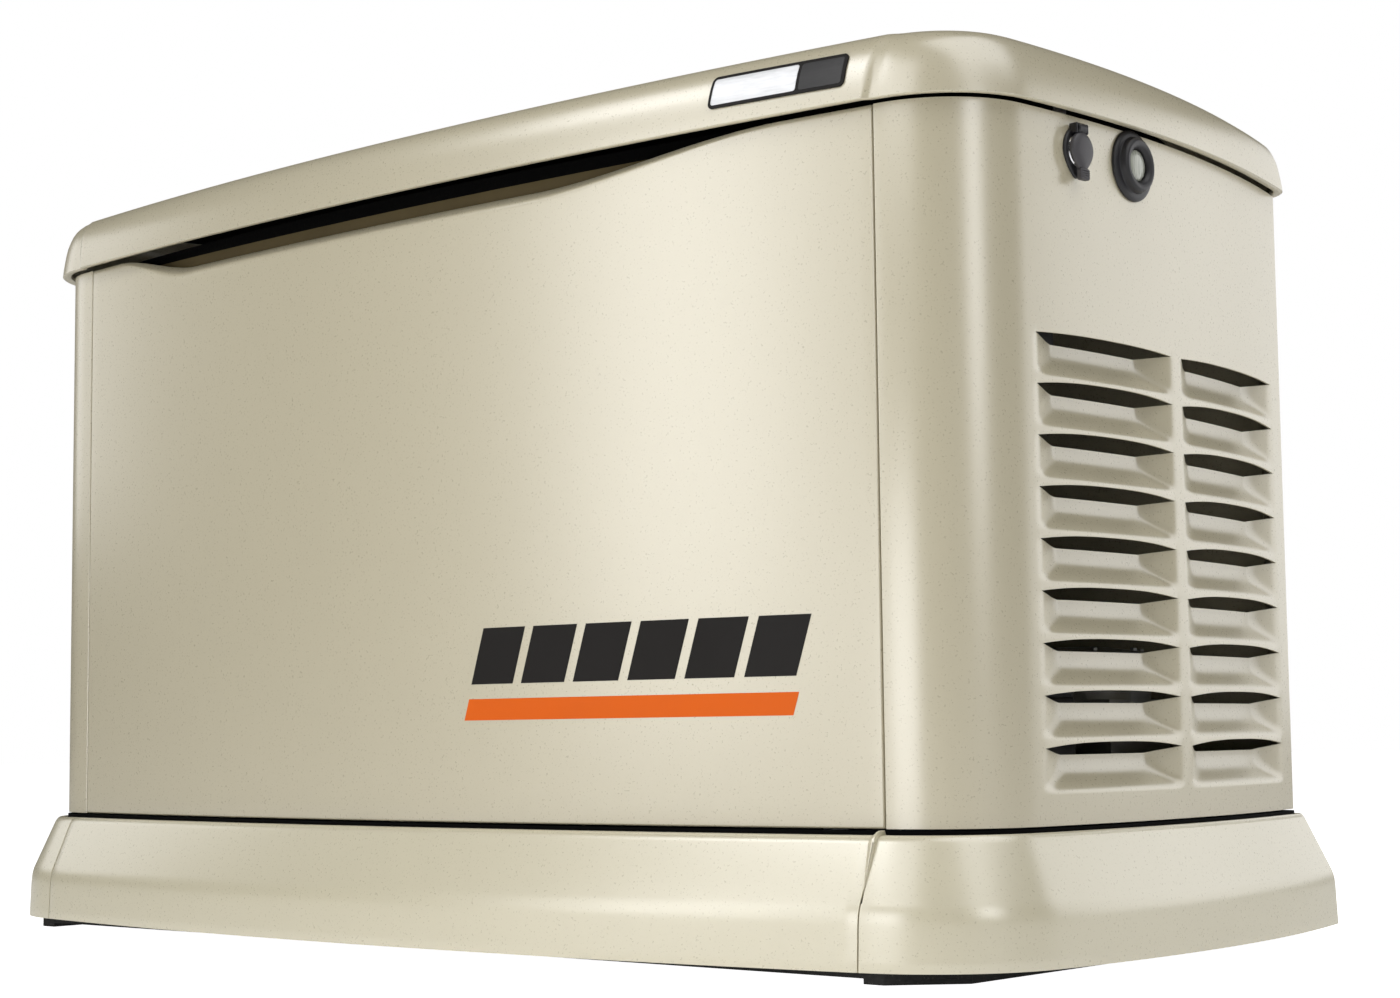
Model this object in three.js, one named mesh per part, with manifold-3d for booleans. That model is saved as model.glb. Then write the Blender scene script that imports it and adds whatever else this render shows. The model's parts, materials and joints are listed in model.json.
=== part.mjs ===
// Home standby generator: an air-cooled V-twin engine and alternator in a bowed steel enclosure on a
// composite pad. Millimetres, +Z up, +X towards the intake end (the viewer's right), +Y to the back.
// The origin is the middle of the footprint, on the ground.
import * as THREE from 'three';
import { mergeVertices } from 'three/addons/utils/BufferGeometryUtils.js';
import Module from 'manifold-3d';

const wasm = await Module();
wasm.setup();

// ---------------------------------------------------------------- driving dimensions
const GAP = 0.3; // between pieces that touch
const SHEET = 2.5; // panel steel
const FRONT_BOW = 3330; // radius of the bowed front faces, in plan
const SIDE_BOW = 1297; // radius of the bowed end faces, in plan

// Plan outlines: half width at the middle of the end, front and back at the middle, corner radii
const FASCIA_FOOT = { halfWidth: 609.5, front: 317, corner: 122, back: 317, rearCorner: 16 };
const FASCIA_KNEE = { halfWidth: 607.8, front: 315.3, corner: 120, back: 315.3, rearCorner: 15 };
const FASCIA_TOP = { halfWidth: 584.5, front: 291, corner: 98, back: 291, rearCorner: 8 };
const FASCIA_LIP = { halfWidth: 582.2, front: 281, corner: 92, back: 281, rearCorner: 6 };
const BODY = { halfWidth: 580.7, front: 276.5, corner: 90, back: 276.5, rearCorner: 10 };
const EAVE = { halfWidth: 592.6, front: 288.4, corner: 99, back: 282.4, rearCorner: 30 };
const EAVE_LIP = { halfWidth: 585, front: 281, corner: 93, back: 279.2, rearCorner: 12 };

const FASCIA_Z = { foot: 9, knee: 50.7, top: 104.8 };
const FASCIA_WALL = 4;
const PANEL_Z = { bottom: 109, top: 643.5 }; // body panels; their top edge follows the eave
const EAVE_RISE = 5.5; // the eave is this much higher at its ends than in the middle
const LID = { crown: 33, sheet: 3.2, backFall: 0.01, bandTop: 698, bandRise: 5 };
const SEAM = { right: 489.8, left: -479 }; // where the front panel meets the end panels
const FASCIA_SEAM = { right: 493, left: -482 };
const SEAM_GAP = 1.2;

const PAD = { halfWidth: 553, halfDepth: 270, height: 38, chamfer: 45 };
const PAN = { floor: 6, wall: 3, rim: 107.5 };

const LOUVRE = {
  pitch: 38.83, rows: 9, topSlit: 476.4, slot: 15, ramp: 36,
  columns: [[-151, 34.1], [50.6, 242.3]],
};
const LOCK = { y: -99.1, z: 620.8, coreRadius: 6, bodyRadius: 9.3, camLength: 30 };
const STATUS = { y: -20.8, z: 622.1, flange: 28.5, boss: 21, neck: 16, lens: 12.6 };
const HINGE = { y: 288, z: 650, offset: 380, pinRadius: 2.5, knuckle: 4.5, halfLength: 30 };

const CRANK = { y: 0, z: 230, radius: 20, running: 20.3, from: -325, to: 243 };
const STATOR = { from: -19.5, to: 238, outer: 135, inner: 92 };
const CYLINDER = { x: -100, deck: 98, barrel: 50, fin: 62, fins: 6, head: 190, cover: 236, top: 268 };
const BUTTON = { spacing: 34, radius: 9, proud: 3.5 };
const FUEL = { x: 395, z: 150 };
const BACK_EDGE = 540; // the back panel's two upright edges
const BACK_SEAM = 530; // where the end fascias meet the rear one
const SCOOP = { left: -425, right: 415, easeLeft: 130, easeRight: 260, depth: 17, height: 23, dip: 22 };
const CRANKCASE = { from: -186, to: -20 };

// ---------------------------------------------------------------- materials
function material(color, roughness, metalness) {
  return new THREE.MeshStandardMaterial({ color, roughness, metalness });
}
const PAINT = material(0xd8d2bd, 0.5, 0.1);
const BLACK = material(0x1c1c1d, 0.6, 0);
const DARK_GREY = material(0x48464a, 0.5, 0);
const PAD_GREY = material(0x2b2b2c, 0.9, 0);
const ZINC = material(0xb9bcc0, 0.35, 0.9);
const GALVANISED = material(0x9a9d9f, 0.5, 0.8);
const CAST = material(0xa3a5a6, 0.6, 0.7);
const RUBBER = material(0x151515, 0.9, 0);
const LENS = material(0x96988c, 0.3, 0);
const COPPER = material(0xa5633a, 0.4, 0.7);
const SCREEN = material(0x4d5a48, 0.2, 0);
const GREEN = material(0x3f8a4c, 0.5, 0);
const AMBER = material(0xd58a2a, 0.5, 0);
const RED = material(0xb23329, 0.5, 0);

// ---------------------------------------------------------------- solids, joins and cuts
function toSolid(geometry) {
  const bare = new THREE.BufferGeometry();
  bare.setAttribute('position', geometry.getAttribute('position').clone());
  if (geometry.index) bare.setIndex(geometry.index.clone());
  const merged = mergeVertices(bare, 1e-3);
  return new wasm.Manifold(new wasm.Mesh({
    numProp: 3,
    vertProperties: merged.getAttribute('position').array,
    triVerts: Uint32Array.from(merged.index.array),
  }));
}

function toGeometry(solid) {
  const mesh = solid.getMesh();
  const geometry = new THREE.BufferGeometry();
  geometry.setAttribute('position', new THREE.BufferAttribute(mesh.vertProperties, 3));
  geometry.setIndex(new THREE.BufferAttribute(mesh.triVerts, 1));
  return geometry;
}

function join(...geometries) {
  return toGeometry(geometries.map(toSolid).reduce((whole, next) => whole.add(next)));
}

function cut(geometry, ...tools) {
  return toGeometry(tools.map(toSolid).reduce((whole, tool) => whole.subtract(tool), toSolid(geometry)));
}

// Turns the faces outwards if the body came out inside out
function faceOut(positions, triangles) {
  const corner = (i) => new THREE.Vector3(...positions[i]);
  const volume = triangles.reduce((sum, [a, b, c]) => sum + corner(a).dot(corner(b).cross(corner(c))), 0);
  const outward = volume > 0 ? triangles : triangles.map(([a, b, c]) => [a, c, b]);
  const geometry = new THREE.BufferGeometry();
  geometry.setAttribute('position', new THREE.Float32BufferAttribute(positions.flat(), 3));
  geometry.setIndex(outward.flat());
  return geometry;
}

// A body through rows of matching section corners; section gives the corners in 2-D for the end caps
function loft(rows, section) {
  const count = section.length;
  const last = (rows.length - 1) * count;
  const triangles = [];
  for (let row = 0; row + 1 < rows.length; row += 1) {
    for (let i = 0; i < count; i += 1) {
      const a = row * count + i;
      const b = row * count + ((i + 1) % count);
      triangles.push([a, b, b + count], [a, b + count, a + count]);
    }
  }
  const contour = section.map(([u, v]) => new THREE.Vector2(u, v));
  const winding = Math.sign(THREE.ShapeUtils.area(contour));
  for (const face of THREE.ShapeUtils.triangulateShape(contour, [])) {
    const area = THREE.ShapeUtils.area(face.map((i) => contour[i]));
    const [a, b, c] = Math.sign(area) === winding ? face : [...face].reverse();
    triangles.push([a, c, b], [a + last, b + last, c + last]);
  }
  return faceOut(rows.flat(), triangles);
}

// A hollow body of closed rings, from one single middle point to another
function ringShell(first, rings, final) {
  const count = rings[0].length;
  const positions = [first, ...rings.flat(), final];
  const triangles = [];
  for (let i = 0; i < count; i += 1) {
    const next = (i + 1) % count;
    triangles.push([0, 1 + i, 1 + next]);
    for (let ring = 0; ring + 1 < rings.length; ring += 1) {
      const a = 1 + ring * count + i;
      const b = 1 + ring * count + next;
      triangles.push([a, a + count, b + count], [a, b + count, b]);
    }
    const base = 1 + (rings.length - 1) * count;
    triangles.push([base + i, positions.length - 1, base + next]);
  }
  return faceOut(positions, triangles);
}

function mirrored(geometry) {
  const positions = geometry.getAttribute('position');
  const flipped = [];
  for (let i = 0; i < positions.count; i += 1) {
    flipped.push([-positions.getX(i), positions.getY(i), positions.getZ(i)]);
  }
  const triangles = [];
  for (let i = 0; i < geometry.index.count; i += 3) {
    triangles.push([0, 1, 2].map((k) => geometry.index.getX(i + k)));
  }
  return faceOut(flipped, triangles);
}

// ---------------------------------------------------------------- plain shapes, placed by their limits
function block([x0, x1], [y0, y1], [z0, z1]) {
  const geometry = new THREE.BoxGeometry(x1 - x0, y1 - y0, z1 - z0);
  return geometry.translate((x0 + x1) / 2, (y0 + y1) / 2, (z0 + z1) / 2);
}

function basis(...directions) {
  return new THREE.Matrix4().makeBasis(...directions.map((direction) => new THREE.Vector3(...direction)));
}

const ALONG = {
  x: basis([0, 1, 0], [0, 0, 1], [1, 0, 0]),
  y: basis([1, 0, 0], [0, 0, 1], [0, -1, 0]),
  z: basis([1, 0, 0], [0, 1, 0], [0, 0, 1]),
};

// A 2-D shape pushed along an axis between two limits. Its plane is YZ, XZ or XY
function push(axis, shape, from, to, curveSegments = 4) {
  const geometry = new THREE.ExtrudeGeometry(shape, { depth: to - from, bevelEnabled: false, curveSegments });
  geometry.applyMatrix4(ALONG[axis]);
  const shift = axis === 'y' ? to : from;
  return geometry.translate(axis === 'x' ? shift : 0, axis === 'y' ? shift : 0, axis === 'z' ? shift : 0);
}

function polygon(points) {
  return new THREE.Shape(points.map(([u, v]) => new THREE.Vector2(u, v)));
}

function roundedRectangle(u0, v0, u1, v1, radius) {
  const shape = new THREE.Shape();
  shape.absarc(u1 - radius, v1 - radius, radius, 0, Math.PI / 2);
  shape.absarc(u0 + radius, v1 - radius, radius, Math.PI / 2, Math.PI);
  shape.absarc(u0 + radius, v0 + radius, radius, Math.PI, 1.5 * Math.PI);
  shape.absarc(u1 - radius, v0 + radius, radius, 1.5 * Math.PI, 2 * Math.PI);
  return shape;
}

// Sides enough for a round body to look round at its size
function facets(profile) {
  const widest = Math.max(...profile.map(([radius]) => radius));
  return [10, 14, 20, 28][[6, 17, 60].filter((radius) => widest > radius).length];
}

// A turned body about a line along an axis. The profile is [radius, place along the axis], open at
// the axis or closed on itself, and [u, v] is the line's place in the other two directions
function turned(axis, profile, [u, v], segments = facets(profile)) {
  const geometry = new THREE.LatheGeometry(profile.map((p) => new THREE.Vector2(...p)), segments);
  geometry.rotateX(Math.PI / 2);
  const turns = { x: [0, Math.PI / 2], y: [-Math.PI / 2, 0], z: [0, 0] };
  geometry.rotateX(turns[axis][0]);
  geometry.rotateY(turns[axis][1]);
  const place = { x: [0, u, v], y: [u, 0, v], z: [u, v, 0] }[axis];
  return geometry.translate(...place);
}

function rod(axis, radius, from, to, centre) {
  return turned(axis, [[0, from], [radius, from], [radius, to], [0, to]], centre);
}

// ---------------------------------------------------------------- plan outlines
function cornerArc({ halfWidth, front, corner }) {
  const frontCentre = new THREE.Vector2(0, FRONT_BOW - front);
  const sideCentre = new THREE.Vector2(halfWidth - SIDE_BOW, 0);
  const toFront = FRONT_BOW - corner;
  const toSide = SIDE_BOW - corner;
  const apart = sideCentre.clone().sub(frontCentre);
  const distance = apart.length();
  const along = (toFront ** 2 - toSide ** 2 + distance ** 2) / (2 * distance);
  const across = Math.sqrt(toFront ** 2 - along ** 2);
  const unit = apart.normalize();
  const centre = frontCentre.clone().addScaledVector(unit, along);
  centre.add(new THREE.Vector2(-unit.y, unit.x).multiplyScalar(across));
  const frontAngle = Math.atan2(centre.y - frontCentre.y, centre.x - frontCentre.x);
  const sideAngle = Math.atan2(centre.y - sideCentre.y, centre.x - sideCentre.x);
  return { frontCentre, sideCentre, centre, frontAngle, sideAngle };
}

function arcPoints(centre, radius, from, to, steps) {
  return Array.from({ length: steps + 1 }, (_, i) => {
    const angle = from + ((to - from) * i) / steps;
    return [centre.x + radius * Math.cos(angle), centre.y + radius * Math.sin(angle)];
  });
}

// Right half of an outline from x = frontStart on the front face, round the end, to x = backEnd
function halfOutline(outline, frontStart, backEnd, steps = { front: 2, corner: 8, side: 8, rear: 3 }) {
  const { frontCentre, sideCentre, centre, frontAngle, sideAngle } = cornerArc(outline);
  const startAngle = -Math.PI / 2 + Math.asin(frontStart / FRONT_BOW);
  const rearY = outline.back - outline.rearCorner;
  const rearReach = SIDE_BOW - outline.rearCorner;
  const rearCentre = { x: sideCentre.x + Math.sqrt(rearReach ** 2 - rearY ** 2), y: rearY };
  const rearAngle = Math.atan2(rearY, rearCentre.x - sideCentre.x);
  const points = arcPoints(frontCentre, FRONT_BOW, startAngle, frontAngle, steps.front);
  points.push(...arcPoints(centre, outline.corner, frontAngle, sideAngle, steps.corner).slice(1));
  points.push(...arcPoints(sideCentre, SIDE_BOW, sideAngle, rearAngle, steps.side).slice(1));
  points.push(...arcPoints(rearCentre, outline.rearCorner, rearAngle, Math.PI / 2, steps.rear).slice(1));
  points.push([backEnd, outline.back]);
  return points;
}

const AROUND = { front: 4, corner: 6, side: 6, rear: 3 };

function wholeOutline(outline) {
  const right = halfOutline(outline, 0, 0, AROUND);
  const left = right.slice(1, -1).map(([x, y]) => [-x, y]).reverse();
  return [...right, ...left];
}

function frontFace(outline, x) {
  return FRONT_BOW - outline.front - Math.sqrt(FRONT_BOW ** 2 - x ** 2);
}

function endFace(outline, y) {
  return outline.halfWidth - SIDE_BOW + Math.sqrt(SIDE_BOW ** 2 - y ** 2);
}

function grown(outline, amount) {
  return {
    halfWidth: outline.halfWidth + amount,
    front: outline.front + amount,
    corner: outline.corner + amount,
    back: outline.back + amount,
    rearCorner: Math.max(outline.rearCorner + amount, 3),
  };
}

// A wall that follows outlines: one outline and one height for each corner of its section
function wall(path, section) {
  const columns = section.map(({ outline }) => path(outline));
  const rows = columns[0].map((_, station) => section.map(({ z }, i) => {
    const [x, y] = columns[i][station];
    return [x, y, typeof z === 'function' ? z(x) : z];
  }));
  return loft(rows, section.map(({ outline, z }) => [outline.front, typeof z === 'function' ? z(0) : z]));
}

// ---------------------------------------------------------------- the scene graph
const group = new THREE.Group();

function add(name, geometry, finish, parent = group) {
  const mesh = new THREE.Mesh(geometry, finish);
  mesh.name = name;
  parent.add(mesh);
  return mesh;
}

const eaveHeight = (x) => PANEL_Z.top + 1.2 + EAVE_RISE * (x / 590) ** 2;
const panelTop = (x) => eaveHeight(x) - 1.2;

// ---------------------------------------------------------------- pad, pan and fascia
function makePad() {
  const { halfWidth: w, halfDepth: d, chamfer: c, height } = PAD;
  const slab = push('z', polygon([
    [-w + c, -d], [w - c, -d], [w, -d + c], [w, d - c], [w - c, d], [-w + c, d], [-w, d - c], [-w, -d + c],
  ]), 0, height);
  const underside = 4; // the slab stands on feet along its two ends
  return cut(slab, block([-490, 490], [-d - 1, d + 1], [-1, underside]));
}

function makePan() {
  const outer = grown(BODY, -6);
  const inner = grown(outer, -PAN.wall);
  const ring = (outline, z) => wholeOutline(outline).map(([x, y]) => [x, y, z]);
  const bottom = PAD.height + GAP;
  const floor = bottom + PAN.floor;
  const rings = [ring(outer, bottom), ring(outer, PAN.rim), ring(inner, PAN.rim), ring(inner, floor)];
  return ringShell([0, 0, bottom], rings, [0, 0, floor]);
}

function fasciaSection() {
  const inside = (outline) => grown(outline, -FASCIA_WALL);
  const { foot, knee, top } = FASCIA_Z;
  return [
    { outline: FASCIA_FOOT, z: foot }, { outline: FASCIA_KNEE, z: knee },
    { outline: FASCIA_TOP, z: top }, { outline: FASCIA_LIP, z: top },
    { outline: FASCIA_LIP, z: top - 3 }, { outline: inside(FASCIA_TOP), z: top - 5 },
    { outline: inside(FASCIA_KNEE), z: knee }, { outline: inside(FASCIA_FOOT), z: foot },
  ];
}

function frontStretch(left, right, steps = 12) {
  return (outline) => Array.from({ length: steps + 1 }, (_, i) => {
    const x = left + ((right - left) * i) / steps;
    return [x, frontFace(outline, x)];
  });
}

function makeFascia() {
  const section = fasciaSection();
  const half = SEAM_GAP / 2;
  const end = (frontSeam) => (outline) => halfOutline(outline, frontSeam + half, BACK_SEAM + half);
  add('fascia_front', wall(frontStretch(FASCIA_SEAM.left + half, FASCIA_SEAM.right - half), section), PAINT);
  add('fascia_right_end', wall(end(FASCIA_SEAM.right), section), PAINT);
  add('fascia_left_end', mirrored(wall(end(-FASCIA_SEAM.left), section)), PAINT);
  const across = (outline) => [[-BACK_SEAM + half, outline.back], [BACK_SEAM - half, outline.back]];
  add('fascia_rear', wall(across, section), PAINT);
}

// ---------------------------------------------------------------- louvred end panels
function louvreSlots() {
  const slots = [];
  for (let row = 0; row < LOUVRE.rows; row += 1) {
    const top = LOUVRE.topSlit - row * LOUVRE.pitch;
    for (const [start, end] of LOUVRE.columns) {
      const slot = polygon([
        [start, top], [start + LOUVRE.ramp, top - LOUVRE.slot],
        [end - LOUVRE.ramp, top - LOUVRE.slot], [end, top],
      ]);
      slots.push(push('x', slot, 550, 600));
    }
  }
  return slots;
}

function makeEndPanel(frontSeam) {
  const inner = grown(BODY, -SHEET);
  const section = [
    { outline: BODY, z: PANEL_Z.bottom }, { outline: BODY, z: panelTop },
    { outline: inner, z: panelTop }, { outline: inner, z: PANEL_Z.bottom },
  ];
  const seam = frontSeam + SEAM_GAP / 2;
  const path = (outline) => halfOutline(outline, seam, BACK_EDGE + 0.6);
  const skin = cut(wall(path, section), ...louvreSlots());
  const frontY = frontFace(BODY, seam);
  const flange = block([seam, seam + SHEET], [frontY + 0.4, frontY + 24], [PANEL_Z.bottom, PANEL_Z.top]);
  return join(skin, flange);
}

// A frame on an end panel's outer face, local +X straight out of it
function endFrame(y, z) {
  const frame = new THREE.Group();
  frame.position.set(endFace(BODY, y), y, z);
  frame.rotation.z = Math.asin(y / SIDE_BOW);
  frame.updateMatrix();
  return frame;
}

function makeEndPanels() {
  const hole = (radius, { y, z }) => rod('x', radius, -20, 20, [0, 0]).applyMatrix4(endFrame(y, z).matrix);
  const lockHole = hole(LOCK.bodyRadius + 0.4, LOCK);
  const lampHole = hole(STATUS.neck + 0.6, STATUS);
  add('intake_side_panel', cut(makeEndPanel(SEAM.right), lockHole, lampHole), PAINT);
  add('exhaust_side_panel', mirrored(cut(makeEndPanel(-SEAM.left), lockHole)), PAINT);
}

function makeBackPanel() {
  const { back } = BODY;
  const { bottom, top } = PANEL_Z;
  const sheet = block([-BACK_EDGE, BACK_EDGE], [back - SHEET, back], [bottom, top]);
  const folds = [-BACK_EDGE, BACK_EDGE - SHEET].map((x) => (
    block([x, x + SHEET], [back - 22, back - 1], [bottom, top - 3.5])
  ));
  return cut(join(sheet, ...folds), rod('y', 18, back - 10, back + 10, [FUEL.x, FUEL.z]));
}

// ---------------------------------------------------------------- front access panel
// 0 beside the hand scoop, 1 where it is deepest
function scoopShare(x) {
  const left = THREE.MathUtils.smoothstep((x - SCOOP.left) / SCOOP.easeLeft, 0, 1);
  const right = THREE.MathUtils.smoothstep((SCOOP.right - x) / SCOOP.easeRight, 0, 1);
  return Math.min(left, right);
}

function makeFrontPanel() {
  const left = SEAM.left + SEAM_GAP / 2;
  const right = SEAM.right - SEAM_GAP / 2;
  const steps = 24;
  const flange = 18;
  const { bottom } = PANEL_Z;
  const rows = Array.from({ length: steps + 1 }, (_, i) => {
    const x = left + ((right - left) * i) / steps;
    const y = frontFace(BODY, x);
    const share = scoopShare(x);
    const top = panelTop(x) - SCOOP.dip * share;
    const scoop = SCOOP.depth * share;
    return [
      [x, y, bottom], [x, y, top - SCOOP.height], [x, y + scoop * 0.8, top - 8], [x, y + scoop, top],
      [x, y + flange + 4, top], [x, y + flange + 4, top - SHEET],
      [x, y + scoop + SHEET, top - SHEET], [x, y + scoop * 0.8 + SHEET, top - 8 - SHEET],
      [x, y + SHEET, top - SCOOP.height - SHEET], [x, y + SHEET, bottom + SHEET],
      [x, y + flange, bottom + SHEET], [x, y + flange, bottom],
    ];
  });
  const section = rows[steps / 2].map(([, y, z]) => [y, z]);
  const sides = [left, right - SHEET].map((x) => {
    const y = Math.max(frontFace(BODY, x), frontFace(BODY, x + SHEET));
    return block([x, x + SHEET], [y + 0.2, y + flange], [bottom + 1, PANEL_Z.top - 1]);
  });
  return join(loft(rows, section), ...sides);
}

function makeFrontRail() {
  return join(
    block([-534, 534], [-214, -190], [596, 599]),
    block([-534, 534], [-214, -211], [596, 636]),
  );
}

// ---------------------------------------------------------------- lid and its hinges
const bandTop = (x, y) => LID.bandTop + LID.bandRise * (x / 590) ** 2 - LID.backFall * (y + BODY.front);

function makeLid() {
  const inwards = [[0, 0.01], [-1.6, 0.25], [-7, 0.66], [-15, 0.9], [-24, 1]];
  const band = (thickness) => inwards.map(([inset, share]) => (
    wholeOutline(grown(EAVE, inset - thickness)).map(([x, y]) => {
      const low = eaveHeight(x) + thickness;
      return [x, y, low + (bandTop(x, y) - thickness - low) * share];
    })
  ));
  const roof = (thickness) => [0.97, 0.9, 0.7, 0.4].map((scale) => (
    wholeOutline(grown(EAVE, -24 - thickness)).map(([x, y]) => {
      const height = bandTop(x * scale, y * scale) + LID.crown * (1 - scale ** 2) - thickness;
      return [x * scale, y * scale, height];
    })
  ));
  const lip = (outline, lift) => wholeOutline(outline).map(([x, y]) => [x, y, eaveHeight(x) + lift]);
  const middle = bandTop(0, 0) + LID.crown;
  const outside = [lip(EAVE_LIP, 0), ...band(0), ...roof(0)];
  const inside = [lip(EAVE_LIP, LID.sheet), ...band(LID.sheet), ...roof(LID.sheet)];
  return ringShell([0, 0, middle - LID.sheet], [...inside.reverse(), ...outside], [0, 0, middle]);
}

function makeHinge(side, centre) {
  const { y, z, pinRadius, knuckle, halfLength: half } = HINGE;
  const bore = rod('x', pinRadius + GAP, centre - half - 1, centre + half + 1, [y, z]);
  const middle = 11;
  const knuckles = (from, to) => rod('x', knuckle, from, to, [y, z]);
  const back = BODY.back + GAP;
  const outer = [[-half, -middle - GAP], [middle + GAP, half]].map(([a, b]) => [centre + a, centre + b]);
  const web = polygon([[back, 634], [back + 2.5, 634], [y + 4, z - 4], [y + 2, z], [y - 2, z - 1]]);
  const bodyLeaf = cut(join(
    block([centre - half, centre + half], [back, back + 2.5], [596, 638]),
    ...outer.flatMap(([a, b]) => [push('x', web, a, b), knuckles(a, b)]),
  ), bore);
  const eave = EAVE.back + GAP;
  const lidWeb = polygon([[eave, 662], [eave, z + 3], [y + 1, z + 1], [y + 3, z + 2], [eave + 2.4, 662]]);
  const lidLeaf = cut(join(
    block([centre - half, centre + half], [eave, eave + 2.4], [660, 678]),
    push('x', lidWeb, centre - middle, centre + middle),
    knuckles(centre - middle, centre + middle),
  ), bore);
  add(`hinge_${side}_body_leaf`, bodyLeaf, BLACK);
  add(`hinge_${side}_lid_leaf`, lidLeaf, BLACK);
  add(`hinge_${side}_pin`, rod('x', pinRadius, centre - half, centre + half, [y, z]), ZINC);
}

// ---------------------------------------------------------------- locks and status lamp
function lockPieces() {
  const { coreRadius, bodyRadius, camLength } = LOCK;
  const flange = push('x', roundedRectangle(-14, -18, 14, 17, 11), GAP, 3);
  const ears = [-13, 9.5].map((y) => {
    const outline = polygon([[y, 10], [y + 3.5, 10], [y + 3.5, 20], [y, 20]]);
    return push('x', outline, 1, 11);
  });
  const body = cut(
    join(flange, rod('x', bodyRadius, -22, 5, [0, 0]), ...ears),
    rod('x', coreRadius + GAP, -23, 6, [0, 0]),
    rod('y', 1.9, -14, 14, [7.6, 17]),
  );
  const keyway = block([0, 6], [-1, 1], [-4, 4]);
  const core = join(
    cut(rod('x', coreRadius, -25.5, 4.6, [0, 0]), keyway),
    push('x', roundedRectangle(-6, -6, 6, camLength - 6, 5.9), -28, -25),
  );
  const cover = cut(join(
    push('x', roundedRectangle(-13, -21, 13, 9, 9), 6, 9.5),
    push('x', polygon([[-8.8, 8], [8.8, 8], [8.8, 18], [-8.8, 18]]), 6, 9.2),
    rod('y', 1.5, -12.6, 12.6, [7.6, 17]),
    push('x', roundedRectangle(-6, -23, 6, -15, 2), 7, 12),
  ), rod('x', 4.6, 5, 7.5, [0, 0]));
  const ledge = join(
    block([-31, -23], [19, 34], [-11, -8.3]),
    block([-33.5, -31], [19, 34], [-11, 72]),
    block([-33.5, -16], [19, 34], [69.5, 72]),
  );
  return { body, core, cover, ledge };
}

function makeLocks() {
  const frame = endFrame(LOCK.y, LOCK.z);
  const placed = (geometry) => geometry.clone().applyMatrix4(frame.matrix);
  const { body, core, cover, ledge } = lockPieces();
  const pieces = { body: [body, BLACK], core: [core, ZINC], cover: [cover, DARK_GREY], catch: [ledge, ZINC] };
  for (const [name, [geometry, finish]] of Object.entries(pieces)) {
    add(`lock_right_${name}`, placed(geometry), finish);
    add(`lock_left_${name}`, mirrored(placed(geometry)), finish);
  }
}

function makeStatusLamp() {
  const { flange, boss, neck, lens } = STATUS;
  const frame = endFrame(STATUS.y, STATUS.z);
  const bezel = turned('x', [
    [lens + 0.4, -14], [neck, -14], [neck, GAP], [flange, GAP], [flange - 1.5, 3], [boss + 1.5, 4.5],
    [boss, 8.5], [boss - 3, 10], [lens + 2, 7], [lens + 0.4, 5], [lens + 0.4, -14],
  ], [0, 0], 30);
  const dome = turned('x', [[0, -12], [lens, -12], [lens, 5], [lens * 0.6, 6.6], [0, 7.2]], [0, 0], 24);
  add('status_light_bezel', bezel, BLACK, frame);
  add('status_light_lens', dome, LENS, frame);
  group.add(frame);
}

// ---------------------------------------------------------------- engine
const axisAt = [CRANK.y, CRANK.z];

function makeCrankcase() {
  const { from, to } = CRANKCASE;
  const outline = polygon([
    [-95, 110], [95, 110], [118.8, 249.8], [19.8, 348.8], [-19.8, 348.8], [-118.8, 249.8],
  ]);
  const filterBoss = rod('y', 30, -112, -90, [-60, 160]);
  const shaftBore = rod('x', CRANK.running, from - 1, to + 1, axisAt);
  return cut(join(push('x', outline, from, to), filterBoss), shaftBore);
}

// A cylinder leans 45 degrees to the front (lean 1) or the back (lean -1); it is made upright here
function cylinderFrame(lean) {
  const frame = new THREE.Group();
  frame.position.set(CYLINDER.x, CRANK.y, CRANK.z);
  frame.rotation.x = (lean * Math.PI) / 4;
  return frame;
}

function makeCylinder(name, lean) {
  const { deck, barrel, fin, fins, head, cover, top } = CYLINDER;
  const pitch = (head - deck) / (fins + 0.5);
  const profile = [[0, deck + GAP], [barrel, deck + GAP]];
  for (let i = 0; i < fins; i += 1) {
    const low = deck + (i + 0.5) * pitch;
    profile.push([barrel, low], [fin, low], [fin, low + 4], [barrel, low + 4]);
  }
  profile.push([barrel, head], [0, head]);
  const frame = cylinderFrame(lean);
  const head45 = push('z', roundedRectangle(-66, -58, 66, 58, 14), head - 4, cover - GAP);
  const port = rod('x', 17, -86, 0, [0, (head + cover) / 2]);
  add(`${name}_cylinder`, join(turned('z', profile, [0, 0], 16), head45, port), CAST, frame);
  add(`${name}_valve_cover`, push('z', roundedRectangle(-58, -50, 58, 50, 16), cover, top), BLACK, frame);
  group.add(frame);
}

function makeFan() {
  const blades = Array.from({ length: 12 }, (_, i) => (
    block([-306, -282], [50, 110], [-2, 2]).rotateX((i * Math.PI) / 6).translate(0, ...axisAt)
  ));
  const disc = turned('x', [
    [CRANK.running, -322], [42, -322], [52, -285], [112, -285], [112, -279],
    [CRANK.running, -279], [CRANK.running, -322],
  ], axisAt, 32);
  return join(disc, ...blades);
}

function makeBlowerHousing() {
  const shroud = push('x', roundedRectangle(-150, 100, 150, 360, 40), -334, -190);
  return cut(
    shroud,
    rod('x', 118, -335, -200, axisAt),
    rod('x', CRANK.radius + 3, -201, -180, axisAt),
    block([-300, -230], [-40, 40], [320, 361]),
  );
}

function makeStator() {
  const { from, to, outer, inner } = STATOR;
  return turned('x', [
    [outer - 20, from], [outer, from + 16], [outer, to - 30], [outer - 18, to - 8], [60, to],
    [CRANK.running, to], [CRANK.running, to - 10], [inner, to - 10], [inner, from + 10],
    [CRANK.radius + 6, from + 10], [CRANK.radius + 6, from], [outer - 20, from],
  ], axisAt, 28);
}

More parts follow.
